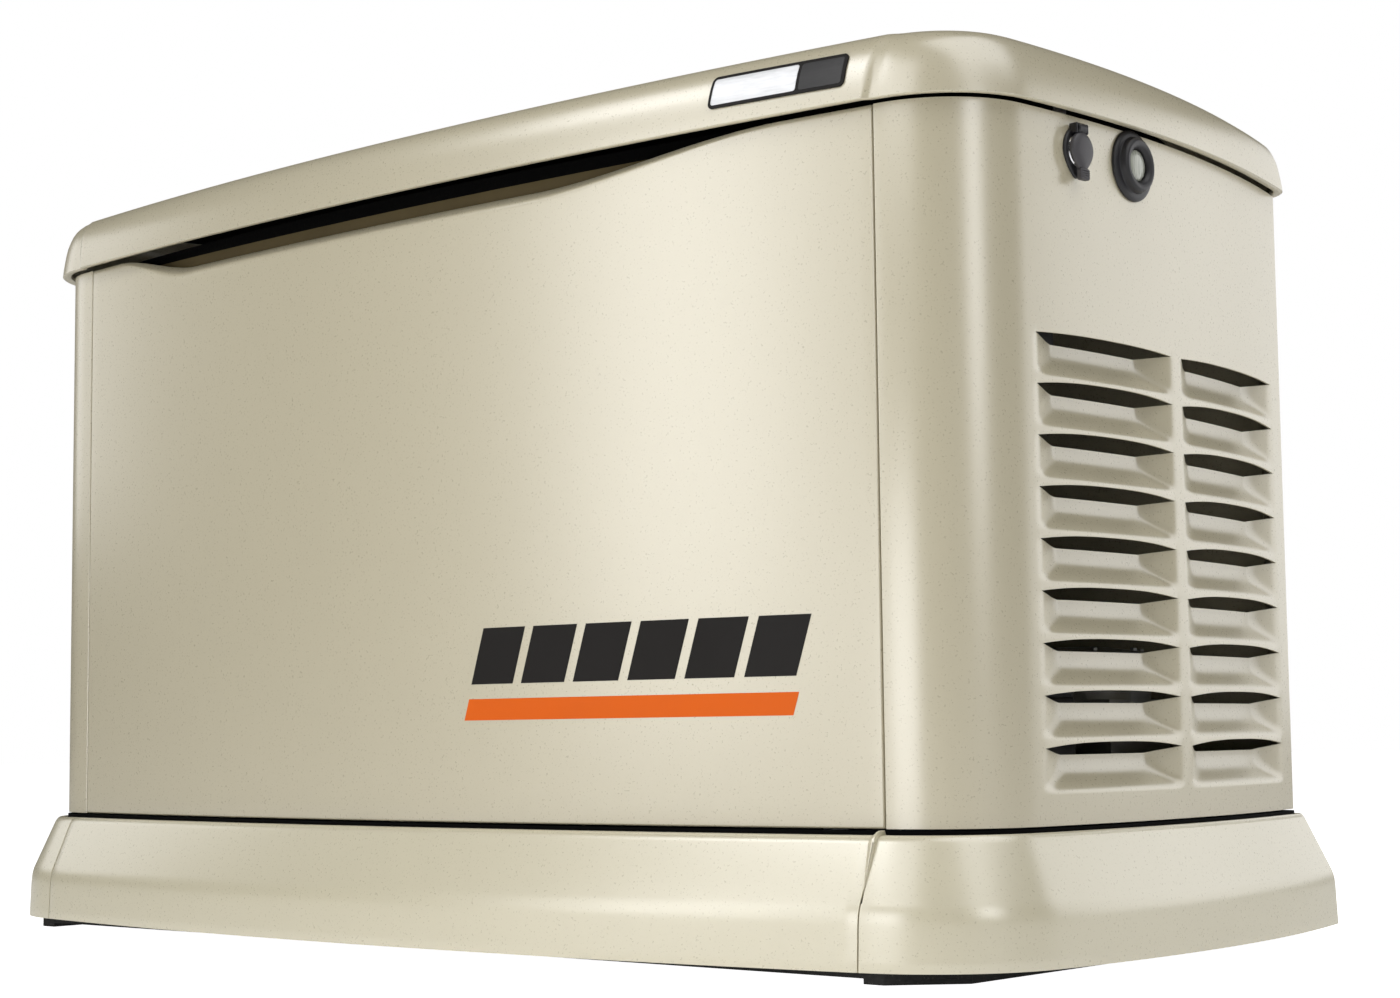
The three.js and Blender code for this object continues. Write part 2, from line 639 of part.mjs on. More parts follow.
function makeExhaust() {
  const pipeX = -455;
  const pipeZ = 447;
  const headPort = { y: 150.6, z: 380.6 };
  const cylinderMuffler = turned('y', [
    [0, -172], [76, -172], [84, -164], [84, 164], [76, 172], [0, 172],
  ], [pipeX, 300], 32);
  const outlet = rod('x', 20, -552, pipeX, [-90, 300]);
  const collar = rod('z', 30, 378, 390, [pipeX, 0]);
  add('muffler', join(cylinderMuffler, outlet, collar), GALVANISED);
  const runs = [-1, 1].flatMap((side) => [
    rod('x', 18, pipeX, -205, [side * headPort.y, pipeZ]),
    rod('x', 18, -222, -186.4, [side * headPort.y, headPort.z]),
    rod('z', 18, headPort.z, pipeZ, [-204, side * headPort.y]),
  ]);
  const cross = rod('y', 18, -headPort.y - 18, headPort.y + 18, [pipeX, pipeZ]);
  add('exhaust_manifold', join(...runs, cross, rod('z', 22, 390 + GAP, pipeZ, [pipeX, 0])), CAST);
  const holes = [-1, 1].map((side) => rod('x', 22, -360, -340, [side * headPort.y, pipeZ]));
  add('exhaust_bulkhead', cut(block([-352, -350], [-216, 262], [45, 590]), ...holes), GALVANISED);
}

function makePowerUnit() {
  add('engine_crankcase', makeCrankcase(), CAST);
  makeCylinder('front', 1);
  makeCylinder('rear', -1);
  add('blower_housing', makeBlowerHousing(), BLACK);
  add('flywheel_fan', makeFan(), CAST);
  add('crankshaft', rod('x', CRANK.radius, CRANK.from, CRANK.to, axisAt), ZINC);
  add('alternator_stator', makeStator(), CAST);
  add('alternator_rotor', turned('x', [
    [CRANK.running, 20], [86, 20], [90, 26], [90, 200], [86, 206], [CRANK.running, 206], [CRANK.running, 20],
  ], axisAt, 28), COPPER);
  const plate = push('z', roundedRectangle(-186, -140, 235, 140, 18), 62, 72);
  const cradle = join(
    plate,
    block([-180, -26], [-80, 80], [71, 109.7]),
    cut(block([20, 205], [-70, 70], [71, 112]), rod('x', STATOR.outer + 0.4, 0, 220, axisAt)),
  );
  add('power_unit_cradle', cradle, BLACK);
  const floor = PAD.height + PAN.floor + 2 * GAP;
  const mountProfile = [[0, floor], [24, floor], [24, floor + 4], [18, floor + 8], [22, 61.7], [0, 61.7]];
  for (const [end, y] of Object.entries({ front: -112, rear: 112 })) {
    for (const [side, x] of Object.entries({ left: -160, right: 205 })) {
      add(`rubber_mount_${end}_${side}`, turned('z', mountProfile, [x, y], 16), RUBBER);
    }
  }
  makeExhaust();
  add('air_cleaner_base', push('z', roundedRectangle(-150, -150, 110, 70, 24), 482, 540), BLACK);
  add('air_cleaner_cover', push('z', roundedRectangle(-156, -156, 116, 76, 28), 540 + GAP, 578), BLACK);
  const canister = [[0, -196], [30, -196], [37, -190], [37, -118], [33, -112.4], [0, -112.4]];
  add('oil_filter', turned('y', canister, [-60, 160]), BLACK);
}

// ---------------------------------------------------------------- fuel, battery and controls
function makeFuelSystem() {
  const { x, z } = FUEL;
  add('fuel_regulator', join(
    block([x - 60, x + 60], [132, 232], [z - 55, z + 55]),
    rod('z', 62, z + 50, z + 92, [x, 182]),
    rod('x', 24, x - 120, x, [182, z]),
    block([x - 70, x + 70], [150, 214], [45, 100]),
  ), CAST);
  add('fuel_inlet', cut(join(
    rod('y', 17, 232 + GAP, 302, [x, z]),
    turned('y', [[0, 278], [24, 278], [24, 290], [0, 290]], [x, z], 6),
  ), rod('y', 12, 250, 303, [x, z])), ZINC);
}

function makeBattery() {
  const [left, right] = [318, 526];
  const [front, rear] = [-205, -32];
  const top = 236;
  const posts = [left + 35, right - 35].map((post) => rod('z', 9, top - 2, top + 14, [post, front + 42]));
  const caseBox = block([left, right], [front, rear], [PAD.height + PAN.floor + 2 * GAP, top]);
  add('battery', join(caseBox, ...posts), BLACK);
  const strap = [410, 434];
  const leg = (from, to) => block(strap, [from, to], [60, top + 4]);
  const bridge = block(strap, [front - 6, rear + 6], [top + GAP, top + 4]);
  add('battery_clamp', join(bridge, leg(front - 6, front - GAP), leg(rear + GAP, rear + 6)), ZINC);
}

const PANEL_SLOPE = { low: [-198, 528], high: [-104, 594] }; // the control face, in Y and Z

function controlFrame() {
  const [y0, z0] = PANEL_SLOPE.low;
  const [y1, z1] = PANEL_SLOPE.high;
  const frame = new THREE.Group();
  frame.position.set(392, (y0 + y1) / 2, (z0 + z1) / 2);
  frame.rotation.x = Math.atan2(z1 - z0, y1 - y0);
  frame.updateMatrix();
  return frame;
}

function makeControls() {
  const outline = polygon([[-198, 452], PANEL_SLOPE.low, PANEL_SLOPE.high, [-70, 594], [-70, 452]]);
  const frame = controlFrame();
  const across = (i) => 40 + i * BUTTON.spacing;
  const pockets = [0, 1, 2].map((i) => rod('z', BUTTON.radius + 0.5, -8, 5, [across(i), 0]));
  const screenPocket = block([-104, -6], [-36, 36], [-3, 5]);
  const tools = [...pockets, screenPocket].map((tool) => tool.applyMatrix4(frame.matrix));
  const breakerPocket = block([478, 522], [-200, -174], [462, 508]);
  add('control_panel_housing', cut(push('x', outline, 268, 536), ...tools, breakerPocket), BLACK);
  add('control_display', block([-103.7, -6.3], [-35.7, 35.7], [-2.7, 1.5]), SCREEN, frame);
  const buttons = { auto_button: GREEN, manual_button: AMBER, off_button: RED };
  Object.entries(buttons).forEach(([name, finish], i) => {
    const { radius, proud } = BUTTON;
    const profile = [[0, -5.5], [radius, -5.5], [radius, proud - 1], [radius - 1, proud], [0, proud]];
    add(name, turned('z', profile, [across(i), 0]), finish, frame);
  });
  group.add(frame);
  const toggleAt = [-190, 485];
  add('main_breaker', cut(
    block([478.3, 521.7], [-203, -174.3], [462.3, 507.7]),
    block([492, 508], [-204, -176], [472, 498]),
    rod('x', 2.4, 488, 512, toggleAt),
  ), BLACK);
  add('breaker_toggle', join(
    rod('x', 2, 488.5, 511.5, toggleAt),
    rod('x', 7, 493, 507, toggleAt),
    push('x', polygon([[-190, 482.5], [-190, 487.5], [-212, 495.5], [-212, 491.5]]), 494, 506),
  ), DARK_GREY);
}

// ---------------------------------------------------------------- assembly
add('composite_pad', makePad(), PAD_GREY);
add('base_pan', makePan(), GALVANISED);
makeFascia();
makeEndPanels();
add('back_panel', makeBackPanel(), PAINT);
add('front_access_panel', makeFrontPanel(), PAINT);
add('front_top_rail', makeFrontRail(), GALVANISED);
add('lid', makeLid(), PAINT);
makeHinge('right', HINGE.offset);
makeHinge('left', -HINGE.offset);
makeLocks();
makeStatusLamp();
makePowerUnit();
makeFuelSystem();
makeBattery();
makeControls();

export default group;
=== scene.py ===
"""Home standby generator: the finished look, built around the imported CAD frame.

Helpers work in millimetres in the frame's axes (+X right, +Y back, +Z up), and scale to metres
when a mesh is made.
"""
import json
import math
from collections import namedtuple

import bmesh
import bpy
from mathutils import Matrix, Vector

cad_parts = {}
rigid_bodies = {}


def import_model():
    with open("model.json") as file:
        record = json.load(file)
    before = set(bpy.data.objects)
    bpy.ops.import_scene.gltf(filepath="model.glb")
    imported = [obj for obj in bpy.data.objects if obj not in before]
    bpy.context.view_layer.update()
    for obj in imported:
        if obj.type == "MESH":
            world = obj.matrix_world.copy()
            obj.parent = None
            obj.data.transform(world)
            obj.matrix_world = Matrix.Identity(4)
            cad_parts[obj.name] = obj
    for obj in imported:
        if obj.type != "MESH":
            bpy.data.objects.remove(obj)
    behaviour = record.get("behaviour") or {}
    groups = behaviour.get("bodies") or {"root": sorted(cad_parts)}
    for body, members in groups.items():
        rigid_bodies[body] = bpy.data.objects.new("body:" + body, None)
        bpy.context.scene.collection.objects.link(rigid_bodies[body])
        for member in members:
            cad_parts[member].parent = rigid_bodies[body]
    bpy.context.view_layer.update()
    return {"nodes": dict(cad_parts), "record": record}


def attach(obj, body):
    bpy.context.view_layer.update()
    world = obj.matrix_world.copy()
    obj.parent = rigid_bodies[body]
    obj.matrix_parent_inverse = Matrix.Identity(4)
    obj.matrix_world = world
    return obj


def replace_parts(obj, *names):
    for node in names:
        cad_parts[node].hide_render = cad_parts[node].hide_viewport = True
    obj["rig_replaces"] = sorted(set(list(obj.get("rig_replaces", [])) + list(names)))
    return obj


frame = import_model()

MM = 0.001
RECORD = frame["record"]
SLOT_OF = {part["node"]: part["material_slot"] for part in RECORD["subparts"]}
BODY_OF = {node: body for body, nodes in RECORD["behaviour"]["bodies"].items() for node in nodes}

# ---------------------------------------------------------------- driving dimensions
# millimetres; outlines, seams and the places of louvres, locks and lamp are the CAD's
FRONT_BOW, SIDE_BOW = 3330, 1297  # radii of the bowed front and ends
# a plan outline: reaches to the end, front and back, and the radii of its front and rear corners
Outline = namedtuple("Outline", "half_width front corner back rear_corner")
FASCIA_FOOT = Outline(609.5, 317, 122, 317, 16)
FASCIA_KNEE = Outline(607.8, 315.3, 120, 315.3, 15)
FASCIA_TOP = Outline(584.5, 291, 98, 291, 8)
FASCIA_LIP = Outline(582.2, 281, 92, 281, 6)
BODY = Outline(580.7, 276.5, 90, 276.5, 10)
EAVE = Outline(592.6, 288.4, 99, 282.4, 30)

FOOT_Z, KNEE_Z, FASCIA_Z = 9, 50.7, 104.8
PANEL_BOTTOM, PANEL_TOP = 109, 643.5
EAVE_GAP = 1.2
EAVE_RISE, EAVE_REACH = 5.5, 590  # the eave stands higher by the rise at this distance from the middle
SEAM_RIGHT, SEAM_LEFT = 489.8, -479
FASCIA_SEAM_RIGHT, FASCIA_SEAM_LEFT = 493, -482
SEAM_GAP = 1.2
FASCIA_BACK_SEAM = 530

LOUVRE_TOP, LOUVRE_PITCH, LOUVRE_ROWS = 476.4, 38.83, 9
LOUVRE_COLUMNS = ((-151, 34.1), (50.6, 242.3))  # from tip to tip, in y
LOUVRE_DEPTH, LOUVRE_RAMP = 16.5, 36
LOUVRE_LIP, LOUVRE_FOLD, LOUVRE_FLUSH, LOUVRE_ARCH = 5, 16, 31, 4.5

LOCK_Y, LOCK_Z = -99.1, 620.8
EMBOSS_HEIGHT, EMBOSS_RADIUS, EMBOSS_EASE = 1.1, 20, 5
LAMP_Y, LAMP_Z = -20.8, 622.1

CORNER_X = 505  # about where the front face turns into the corner
LID_TOP = 698  # where the lid's edge band ends and its crown begins, at the middle of the front
LID_RISE, LID_FALL = 5, 0.01  # rise towards the ends, and fall per millimetre towards the back
FULL_TURN = 2 * math.pi


def panel_top(x):
    return PANEL_TOP + EAVE_RISE * (x / EAVE_REACH) ** 2


def eave_height(x):
    return panel_top(x) + EAVE_GAP


def band_top(x, y):
    return LID_TOP + LID_RISE * (x / EAVE_REACH) ** 2 - LID_FALL * (y + BODY.front)


# ---------------------------------------------------------------- small maths
def divided(start, end, count):
    """Places that divide a stretch into count equal parts, both ends included"""
    return [start + (end - start) * i / count for i in range(count + 1)]


def spaced(start, end, step):
    """Even places from start to end, both included, no further apart than step"""
    return divided(start, end, max(1, math.ceil(abs(end - start) / step)))


def through(stops, step):
    """Even places through a list of stops, which are all included"""
    places = [stops[0]]
    for start, end in zip(stops, stops[1:]):
        places += spaced(start, end, step)[1:]
    return places


def clamp(value, low=0.0, high=1.0):
    return max(low, min(high, value))


def smooth(value):
    t = clamp(value)
    return t * t * (3 - 2 * t)


def soft_min(a, b, reach):
    overlap = max(reach - abs(a - b), 0) / reach
    return min(a, b) - overlap * overlap * reach / 4


def soft_max(a, b, reach):
    return -soft_min(-a, -b, reach)


def rounded_path(points, reaches, steps=6):
    """A path through points with each inner corner turned into a curve that starts reach away from it"""
    path = [Vector(points[0])]
    for before, at, after, reach in zip(points, points[1:], points[2:], reaches):
        before, at, after = Vector(before), Vector(at), Vector(after)
        start = at + (before - at).normalized() * reach
        end = at + (after - at).normalized() * reach
        for i in range(steps + 1):
            t = i / steps
            path.append(start * (1 - t) ** 2 + at * 2 * t * (1 - t) + end * t * t)
    path.append(Vector(points[-1]))
    return path


# ---------------------------------------------------------------- plan outlines
CORNER_STEPS, SIDE_STEPS, REAR_CORNER_STEPS, BACK_STEPS = 28, 60, 8, 16


def grown(outline, amount):
    rear_corner = max(outline.rear_corner + amount, 3)
    return Outline(outline.half_width + amount, outline.front + amount, outline.corner + amount,
                   outline.back + amount, rear_corner)


def front_face(outline, x):
    return FRONT_BOW - outline.front - math.sqrt(FRONT_BOW ** 2 - x * x)


def end_face(outline, y):
    return outline.half_width - SIDE_BOW + math.sqrt(SIDE_BOW ** 2 - y * y)


def arc(centre, radius, start, end, steps):
    return [(centre[0] + radius * math.cos(turn), centre[1] + radius * math.sin(turn))
            for turn in divided(start, end, steps)]


def half_outline(outline, start, back_end, step=4.0, side_stops=()):
    """Right half of an outline from x = start on the front face, round the end, to x = back_end"""
    front_centre = Vector((0, FRONT_BOW - outline.front))
    side_centre = Vector((outline.half_width - SIDE_BOW, 0))
    to_front = FRONT_BOW - outline.corner
    to_side = SIDE_BOW - outline.corner
    apart = side_centre - front_centre
    along = (to_front ** 2 - to_side ** 2 + apart.length_squared) / (2 * apart.length)
    unit = apart.normalized()
    centre = front_centre + unit * along
    centre += Vector((-unit.y, unit.x)) * math.sqrt(to_front ** 2 - along ** 2)
    front_angle = math.atan2(centre.y - front_centre.y, centre.x - front_centre.x)
    side_angle = math.atan2(centre.y - side_centre.y, centre.x - side_centre.x)
    rear_y = outline.back - outline.rear_corner
    rear_reach = SIDE_BOW - outline.rear_corner
    rear_centre = (side_centre.x + math.sqrt(rear_reach ** 2 - rear_y ** 2), rear_y)
    rear_angle = math.atan2(rear_y, rear_centre[0] - side_centre.x)

    front_end = front_centre.x + FRONT_BOW * math.cos(front_angle)
    side_start = side_centre.y + SIDE_BOW * math.sin(side_angle)
    side_end = side_centre.y + SIDE_BOW * math.sin(rear_angle)
    front_steps = max(1, round((CORNER_X - start) / step))
    points = [(x, front_face(outline, x)) for x in divided(start, front_end, front_steps)]
    points += arc(centre, outline.corner, front_angle, side_angle, CORNER_STEPS)[1:]
    side_ys = through([side_start, *side_stops, side_end], step) if side_stops else divided(
        side_start, side_end, SIDE_STEPS)
    points += [(end_face(outline, y), y) for y in side_ys[1:]]
    points += arc(rear_centre, outline.rear_corner, rear_angle, math.pi / 2, REAR_CORNER_STEPS)[1:]
    points += [(x, outline.back) for x in divided(points[-1][0], back_end, BACK_STEPS)[1:]]
    return points


def whole_outline(outline, step):
    right = half_outline(outline, 0, 0, step)
    return right + [(-x, y) for x, y in reversed(right[1:-1])]


# ---------------------------------------------------------------- meshes
def quads_between(bm, lower, upper, loop):
    count = len(lower)
    for i in range(count if loop else count - 1):
        j = (i + 1) % count
        bm.faces.new((lower[i], lower[j], upper[j], upper[i]))


def skin(rows, loop=False, slits=()):
    """A quad sheet through rows of matching points; the rows listed in slits stay torn from the next"""
    bm = bmesh.new()
    verts = [[bm.verts.new(Vector(point)) for point in row] for row in rows]
    for index, (lower, upper) in enumerate(zip(verts, verts[1:])):
        if index not in slits:
            quads_between(bm, lower, upper, loop)
    bmesh.ops.remove_doubles(bm, verts=bm.verts, dist=1e-4)
    return bm


def stack(outline, levels):
    """A solid through copies of an outline: levels are (inset, height), and both ends are closed"""
    rows = [[(u, v, height) for u, v in outline(inset)] for inset, height in levels]
    bm = bmesh.new()
    verts = [[bm.verts.new(point) for point in row] for row in rows]
    for lower, upper in zip(verts, verts[1:]):
        quads_between(bm, lower, upper, True)
    bm.faces.new(verts[0][::-1])
    bm.faces.new(verts[-1])
    return bm


def lathe(profile, segments=64):
    """A turned body about Z through (radius, height) points; radius 0 closes it at the axis"""
    turns = [FULL_TURN * i / segments for i in range(segments)]
    return skin([[(r * math.cos(a), r * math.sin(a), h) for a in turns] for r, h in profile], loop=True)


def rounded_rectangle(half_u, half_v, radius, steps=8):
    """Outline function of a rounded rectangle about the origin, for stack()"""
    def outline(inset):
        r = max(radius - inset, 0.05)
        points = []
        for quarter, (su, sv) in enumerate(((1, 1), (-1, 1), (-1, -1), (1, -1))):
            centre = (su * (half_u - inset - r), sv * (half_v - inset - r))
            points += arc(centre, r, quarter * math.pi / 2, (quarter + 1) * math.pi / 2, steps)
        return points
    return outline


def at(*place):
    return Matrix.Translation(place)


def moved(bm, matrix):
    bmesh.ops.transform(bm, matrix=matrix, verts=bm.verts)
    return bm


def joined(*parts):
    whole = bmesh.new()
    for bm in parts:
        mesh = bpy.data.meshes.new("part")
        bm.to_mesh(mesh)
        whole.from_mesh(mesh)
        bpy.data.meshes.remove(mesh)
        bm.free()
    return whole


def mirrored(bm):
    bmesh.ops.transform(bm, matrix=Matrix.Scale(-1, 4, (1, 0, 0)), verts=bm.verts)
    bmesh.ops.reverse_faces(bm, faces=bm.faces)
    return bm


def shade(mesh, angle):
    mesh.shade_smooth()
    mesh.set_sharp_from_angle(angle=math.radians(angle))


def baked(piece):
    """Turns the piece's modifiers into its mesh"""
    depsgraph = bpy.context.evaluated_depsgraph_get()
    mesh = bpy.data.meshes.new_from_object(piece.evaluated_get(depsgraph))
    piece.modifiers.clear()
    old = piece.data
    piece.data = mesh
    bpy.data.meshes.remove(old)


BEVEL_ABOVE = 50  # degrees between faces from which an edge is eased


def make(name, bm, body, finish, replaced=(), thickness=0, bevel=0, angle=35):
    """One finished piece from a mesh in millimetres: thickened inwards, its edges eased, painted, riding"""
    bmesh.ops.scale(bm, vec=(MM, MM, MM), verts=bm.verts)
    if not thickness:
        bmesh.ops.recalc_face_normals(bm, faces=bm.faces)
    mesh = bpy.data.meshes.new(name)
    bm.to_mesh(mesh)
    bm.free()
    piece = bpy.data.objects.new(name, mesh)
    bpy.context.scene.collection.objects.link(piece)
    if thickness:
        solid = piece.modifiers.new("thickness", "SOLIDIFY")
        solid.thickness = thickness * MM
        solid.offset = -1
        solid.use_even_offset = False
    if bevel:
        ease = piece.modifiers.new("eased_edges", "BEVEL")
        ease.width = bevel * MM
        ease.segments = 2
        ease.limit_method = "ANGLE"
        ease.angle_limit = math.radians(BEVEL_ABOVE)
        ease.use_clamp_overlap = True
    if thickness or bevel:
        baked(piece)
    shade(piece.data, angle)
    piece.data.materials.clear()
    piece.data.materials.append(finish.material)
    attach(piece, body)
    if replaced:
        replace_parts(piece, replaced)


def fixed(name, bm, finish, replaced=(), **options):
    """A finished piece that stays with the enclosure"""
    make(name, bm, "enclosure", finish, replaced, **options)


# ---------------------------------------------------------------- materials
Finish = namedtuple("Finish", "material slot")


def linear(red, green, blue):
    """sRGB 0-255 to linear colour"""
    def channel(value):
        share = value / 255
        return share / 12.92 if share <= 0.04045 else ((share + 0.055) / 1.055) ** 2.4
    return (channel(red), channel(green), channel(blue), 1)


class Nodes:
    """A material's node tree with short ways to add and link nodes"""

    def __init__(self, name):
        self.material = bpy.data.materials.new(name)
        self.material.use_nodes = True
        self.tree = self.material.node_tree
        self.shader = self.tree.nodes["Principled BSDF"]
        self.place = self.tree.nodes.new("ShaderNodeTexCoord").outputs["Object"]

    def add(self, kind, **values):
        node = self.tree.nodes.new(f"ShaderNode{kind}")
        for key, value in values.items():
            setattr(node, key, value)
        return node

    def link(self, output, node_input):
        self.tree.links.new(output, node_input)

    def plug(self, value, socket):
        """Links another node's output to a socket, or sets the socket to a plain value"""
        if isinstance(value, bpy.types.NodeSocket):
            self.link(value, socket)
        else:
            socket.default_value = value

    def noise(self, scale, detail=4, roughness=0.6, stretch=(1, 1, 1)):
        texture = self.add("TexNoise")
        texture.inputs["Scale"].default_value = scale
        texture.inputs["Detail"].default_value = detail
        texture.inputs["Roughness"].default_value = roughness
        self.link(self.stretched(stretch), texture.inputs["Vector"])
        return texture.outputs["Fac"]

    def cells(self, scale, output="Distance"):
        texture = self.add("TexVoronoi")
        texture.inputs["Scale"].default_value = scale
        self.link(self.place, texture.inputs["Vector"])
        return texture.outputs[output]

    def stretched(self, stretch):
        if stretch == (1, 1, 1):
            return self.place
        mapping = self.add("Mapping")
        mapping.inputs["Scale"].default_value = stretch
        self.link(self.place, mapping.inputs["Vector"])
        return mapping.outputs["Vector"]

    def mapped(self, value, low, high, to_low, to_high):
        node = self.add("MapRange")
        for key, number in zip(("From Min", "From Max", "To Min", "To Max"), (low, high, to_low, to_high)):
            node.inputs[key].default_value = number
        self.link(value, node.inputs["Value"])
        return node.outputs["Result"]

    def spread(self, noise, to_low=0, to_high=1):
        """A noise's usual range, stretched between two values"""
        return self.mapped(noise, 0.3, 0.7, to_low, to_high)

    def mix(self, share, one, other):
        node = self.add("Mix", data_type="RGBA")
        colours = [socket for socket in node.inputs if socket.type == "RGBA"]
        self.plug(share, node.inputs["Factor"])
        for socket, colour in zip(colours, (one, other)):
            self.plug(colour, socket)
        return next(socket for socket in node.outputs if socket.type == "RGBA")

    def bump(self, height, distance, under=None):
        node = self.add("Bump")
        node.inputs["Distance"].default_value = distance * MM
        self.link(height, node.inputs["Height"])
        if under:
            self.link(under, node.inputs["Normal"])
        return node.outputs["Normal"]

    def set(self, **sockets):
        for name, value in sockets.items():
            self.plug(value, self.shader.inputs[name.replace("_", " ")])


def tint(colour, amount):
    return tuple(clamp(channel * amount) for channel in colour[:3]) + (1,)


def plain_finish(name, slot, colour, roughness, metallic=0.0, grain=900, grain_depth=0.1, mottle=0.06,
                 gloss_spread=0.08, **sockets):
    """A moulded, cast or coated surface: slow mottling in colour and gloss over a fine grain"""
    nodes = Nodes(name)
    slow = nodes.noise(9, detail=5)
    fine = nodes.noise(grain, detail=2)
    mottled = nodes.mix(nodes.spread(slow), tint(colour, 1 - mottle), tint(colour, 1 + mottle))
    nodes.set(Base_Color=mottled, Metallic=metallic,
              Roughness=nodes.spread(slow, roughness - gloss_spread, roughness + gloss_spread),
              Normal=nodes.bump(fine, grain_depth), **sockets)
    return Finish(nodes.material, slot)


def powder_coat(name, colour):
    """Beige textured powder coat: a soft pebble over fine orange peel, with faint clouding"""
    nodes = Nodes(name)
    base = linear(*colour)
    pebble = nodes.noise(520, detail=3, roughness=0.55)
    peel = nodes.noise(90, detail=2)
    cloud = nodes.noise(6, detail=3)
    darker, paler = tint(base, 0.985), tint(base, 1.01)
    clouded = nodes.mix(nodes.spread(cloud), darker, paler)
    speckled = nodes.mix(nodes.mapped(pebble, 0.35, 0.65, 0, 1), darker, paler)
    waves = nodes.bump(peel, 0.03)
    nodes.set(Base_Color=nodes.mix(0.5, clouded, speckled), Roughness=nodes.spread(pebble, 0.27, 0.3),
              Normal=nodes.bump(pebble, 0.012, waves), IOR=2.25)
    return Finish(nodes.material, "shell_paint")


def galvanised():
    """Zinc spangle: small crystals of slightly different brightness"""
    nodes = Nodes("galvanised_spangle")
    crystals = nodes.cells(120, output="Color")
    grey = nodes.add("RGBToBW")
    nodes.link(crystals, grey.inputs["Color"])
    fine = nodes.noise(700, detail=2)
    colour = nodes.mix(grey.outputs["Val"], (0.34, 0.35, 0.36, 1), (0.52, 0.53, 0.54, 1))
    nodes.set(Base_Color=colour, Metallic=0.85, Roughness=nodes.mapped(grey.outputs["Val"], 0, 1, 0.38, 0.55),
              Normal=nodes.bump(fine, 0.04))
    return Finish(nodes.material, "galvanised_steel")


def brushed(name, slot, colour, roughness, stretch, metallic=0.95, depth=0.02):
    """A metal or film with fine lines along one direction"""
    nodes = Nodes(name)
    lines = nodes.noise(400, detail=3, stretch=stretch)
    slow = nodes.noise(14, detail=4)
    tone = nodes.mix(nodes.spread(lines), tint(colour, 0.9), tint(colour, 1.08))
    nodes.set(Base_Color=tone, Metallic=metallic,
              Roughness=nodes.spread(slow, roughness - 0.06, roughness + 0.08),
              Normal=nodes.bump(lines, depth))
    return Finish(nodes.material, slot)


def aggregate_composite():
    """Dark pad of bonded aggregate: pores and pale flecks"""
    nodes = Nodes("pad_aggregate")
    flecks = nodes.cells(260)
    grit = nodes.noise(320, detail=5)
    dark, pale = linear(30, 29, 28), linear(78, 76, 72)
    colour = nodes.mix(nodes.mapped(flecks, 0.0, 0.22, 0.75, 0), dark, pale)
    nodes.set(Base_Color=colour, Roughness=nodes.spread(grit, 0.75, 0.95),
              Normal=nodes.bump(grit, 0.5))
    return Finish(nodes.material, "pad_composite")


def frosted_lens():
    """Grey-green lens with fine upright flutes"""
    nodes = Nodes("frosted_lens")
    flutes = nodes.noise(700, detail=1, stretch=(1, 1, 0.05))
    tone = nodes.mix(nodes.spread(flutes), linear(128, 132, 120), linear(176, 178, 166))
    nodes.set(Base_Color=tone, Roughness=nodes.spread(flutes, 0.2, 0.34), IOR=1.5,
              Normal=nodes.bump(flutes, 0.08), Coat_Weight=0.4, Coat_Roughness=0.12)
    return Finish(nodes.material, "lens")


paint = powder_coat("beige_powder_coat", (190, 182, 157))
# painted light: the fascia is a lighter copy of the body's powder coat, for the extra light its upward-sloped
# face catches
fascia_paint_with_painted_light = powder_coat("beige_fascia_with_painted_light", (204, 197, 172))
pad_finish = aggregate_composite()
zinc_sheet = galvanised()
black_steel = plain_finish("black_enamel", "black_steel", linear(30, 30, 31), 0.38, grain=350,
                           grain_depth=0.05, mottle=0.15)
zinc_plate = brushed("zinc_plate", "zinc_steel", (0.62, 0.63, 0.66, 1), 0.3, (1, 1, 0.15))
black_plastic = plain_finish("black_moulding", "black_plastic", linear(27, 26, 29), 0.42, grain=1100,
                             grain_depth=0.05, mottle=0.12)
grey_plastic = plain_finish("dark_grey_moulding", "grey_plastic", linear(64, 62, 65), 0.45, grain=1100,
                            grain_depth=0.05)
lens_finish = frosted_lens()
cast_aluminium = plain_finish("sand_cast_aluminium", "cast_aluminium", (0.5, 0.505, 0.51, 1), 0.5, 0.85,
                              grain=420, grain_depth=0.16, mottle=0.12)
cast_iron = plain_finish("painted_cast_iron", "cast_iron", linear(70, 71, 72), 0.6, 0.3, grain=380,
                         grain_depth=0.2, mottle=0.2)
rotor_iron = plain_finish("varnished_rotor", "rotor_iron", linear(142, 84, 46), 0.35, 0.55, grain=260,
                          grain_depth=0.12, mottle=0.2)
rubber = plain_finish("rubber", "rubber", linear(24, 24, 25), 0.75, grain=800, grain_depth=0.08, mottle=0.15)
display_glass = plain_finish("display_glass", "display_glass", linear(72, 86, 66), 0.12, grain=1500,
                             grain_depth=0.01, mottle=0.08, gloss_spread=0.03,
                             Coat_Weight=0.6)
green_key, amber_key, red_key = (
    plain_finish(name, name, linear(*colour), 0.42, grain=1200, grain_depth=0.04)
    for name, colour in (("green_key", (56, 132, 72)), ("amber_key", (214, 138, 40)),
                         ("red_key", (178, 48, 38))))
black_print = plain_finish("black_print", "black_plastic", linear(22, 19, 17), 0.55, grain=1400,
                           grain_depth=0.01, mottle=0.05, Specular_IOR_Level=0.2)
orange_print = plain_finish("orange_print", "amber_key", linear(212, 92, 8), 0.55, grain=1400,
                            grain_depth=0.01, mottle=0.03, Specular_IOR_Level=0.2)
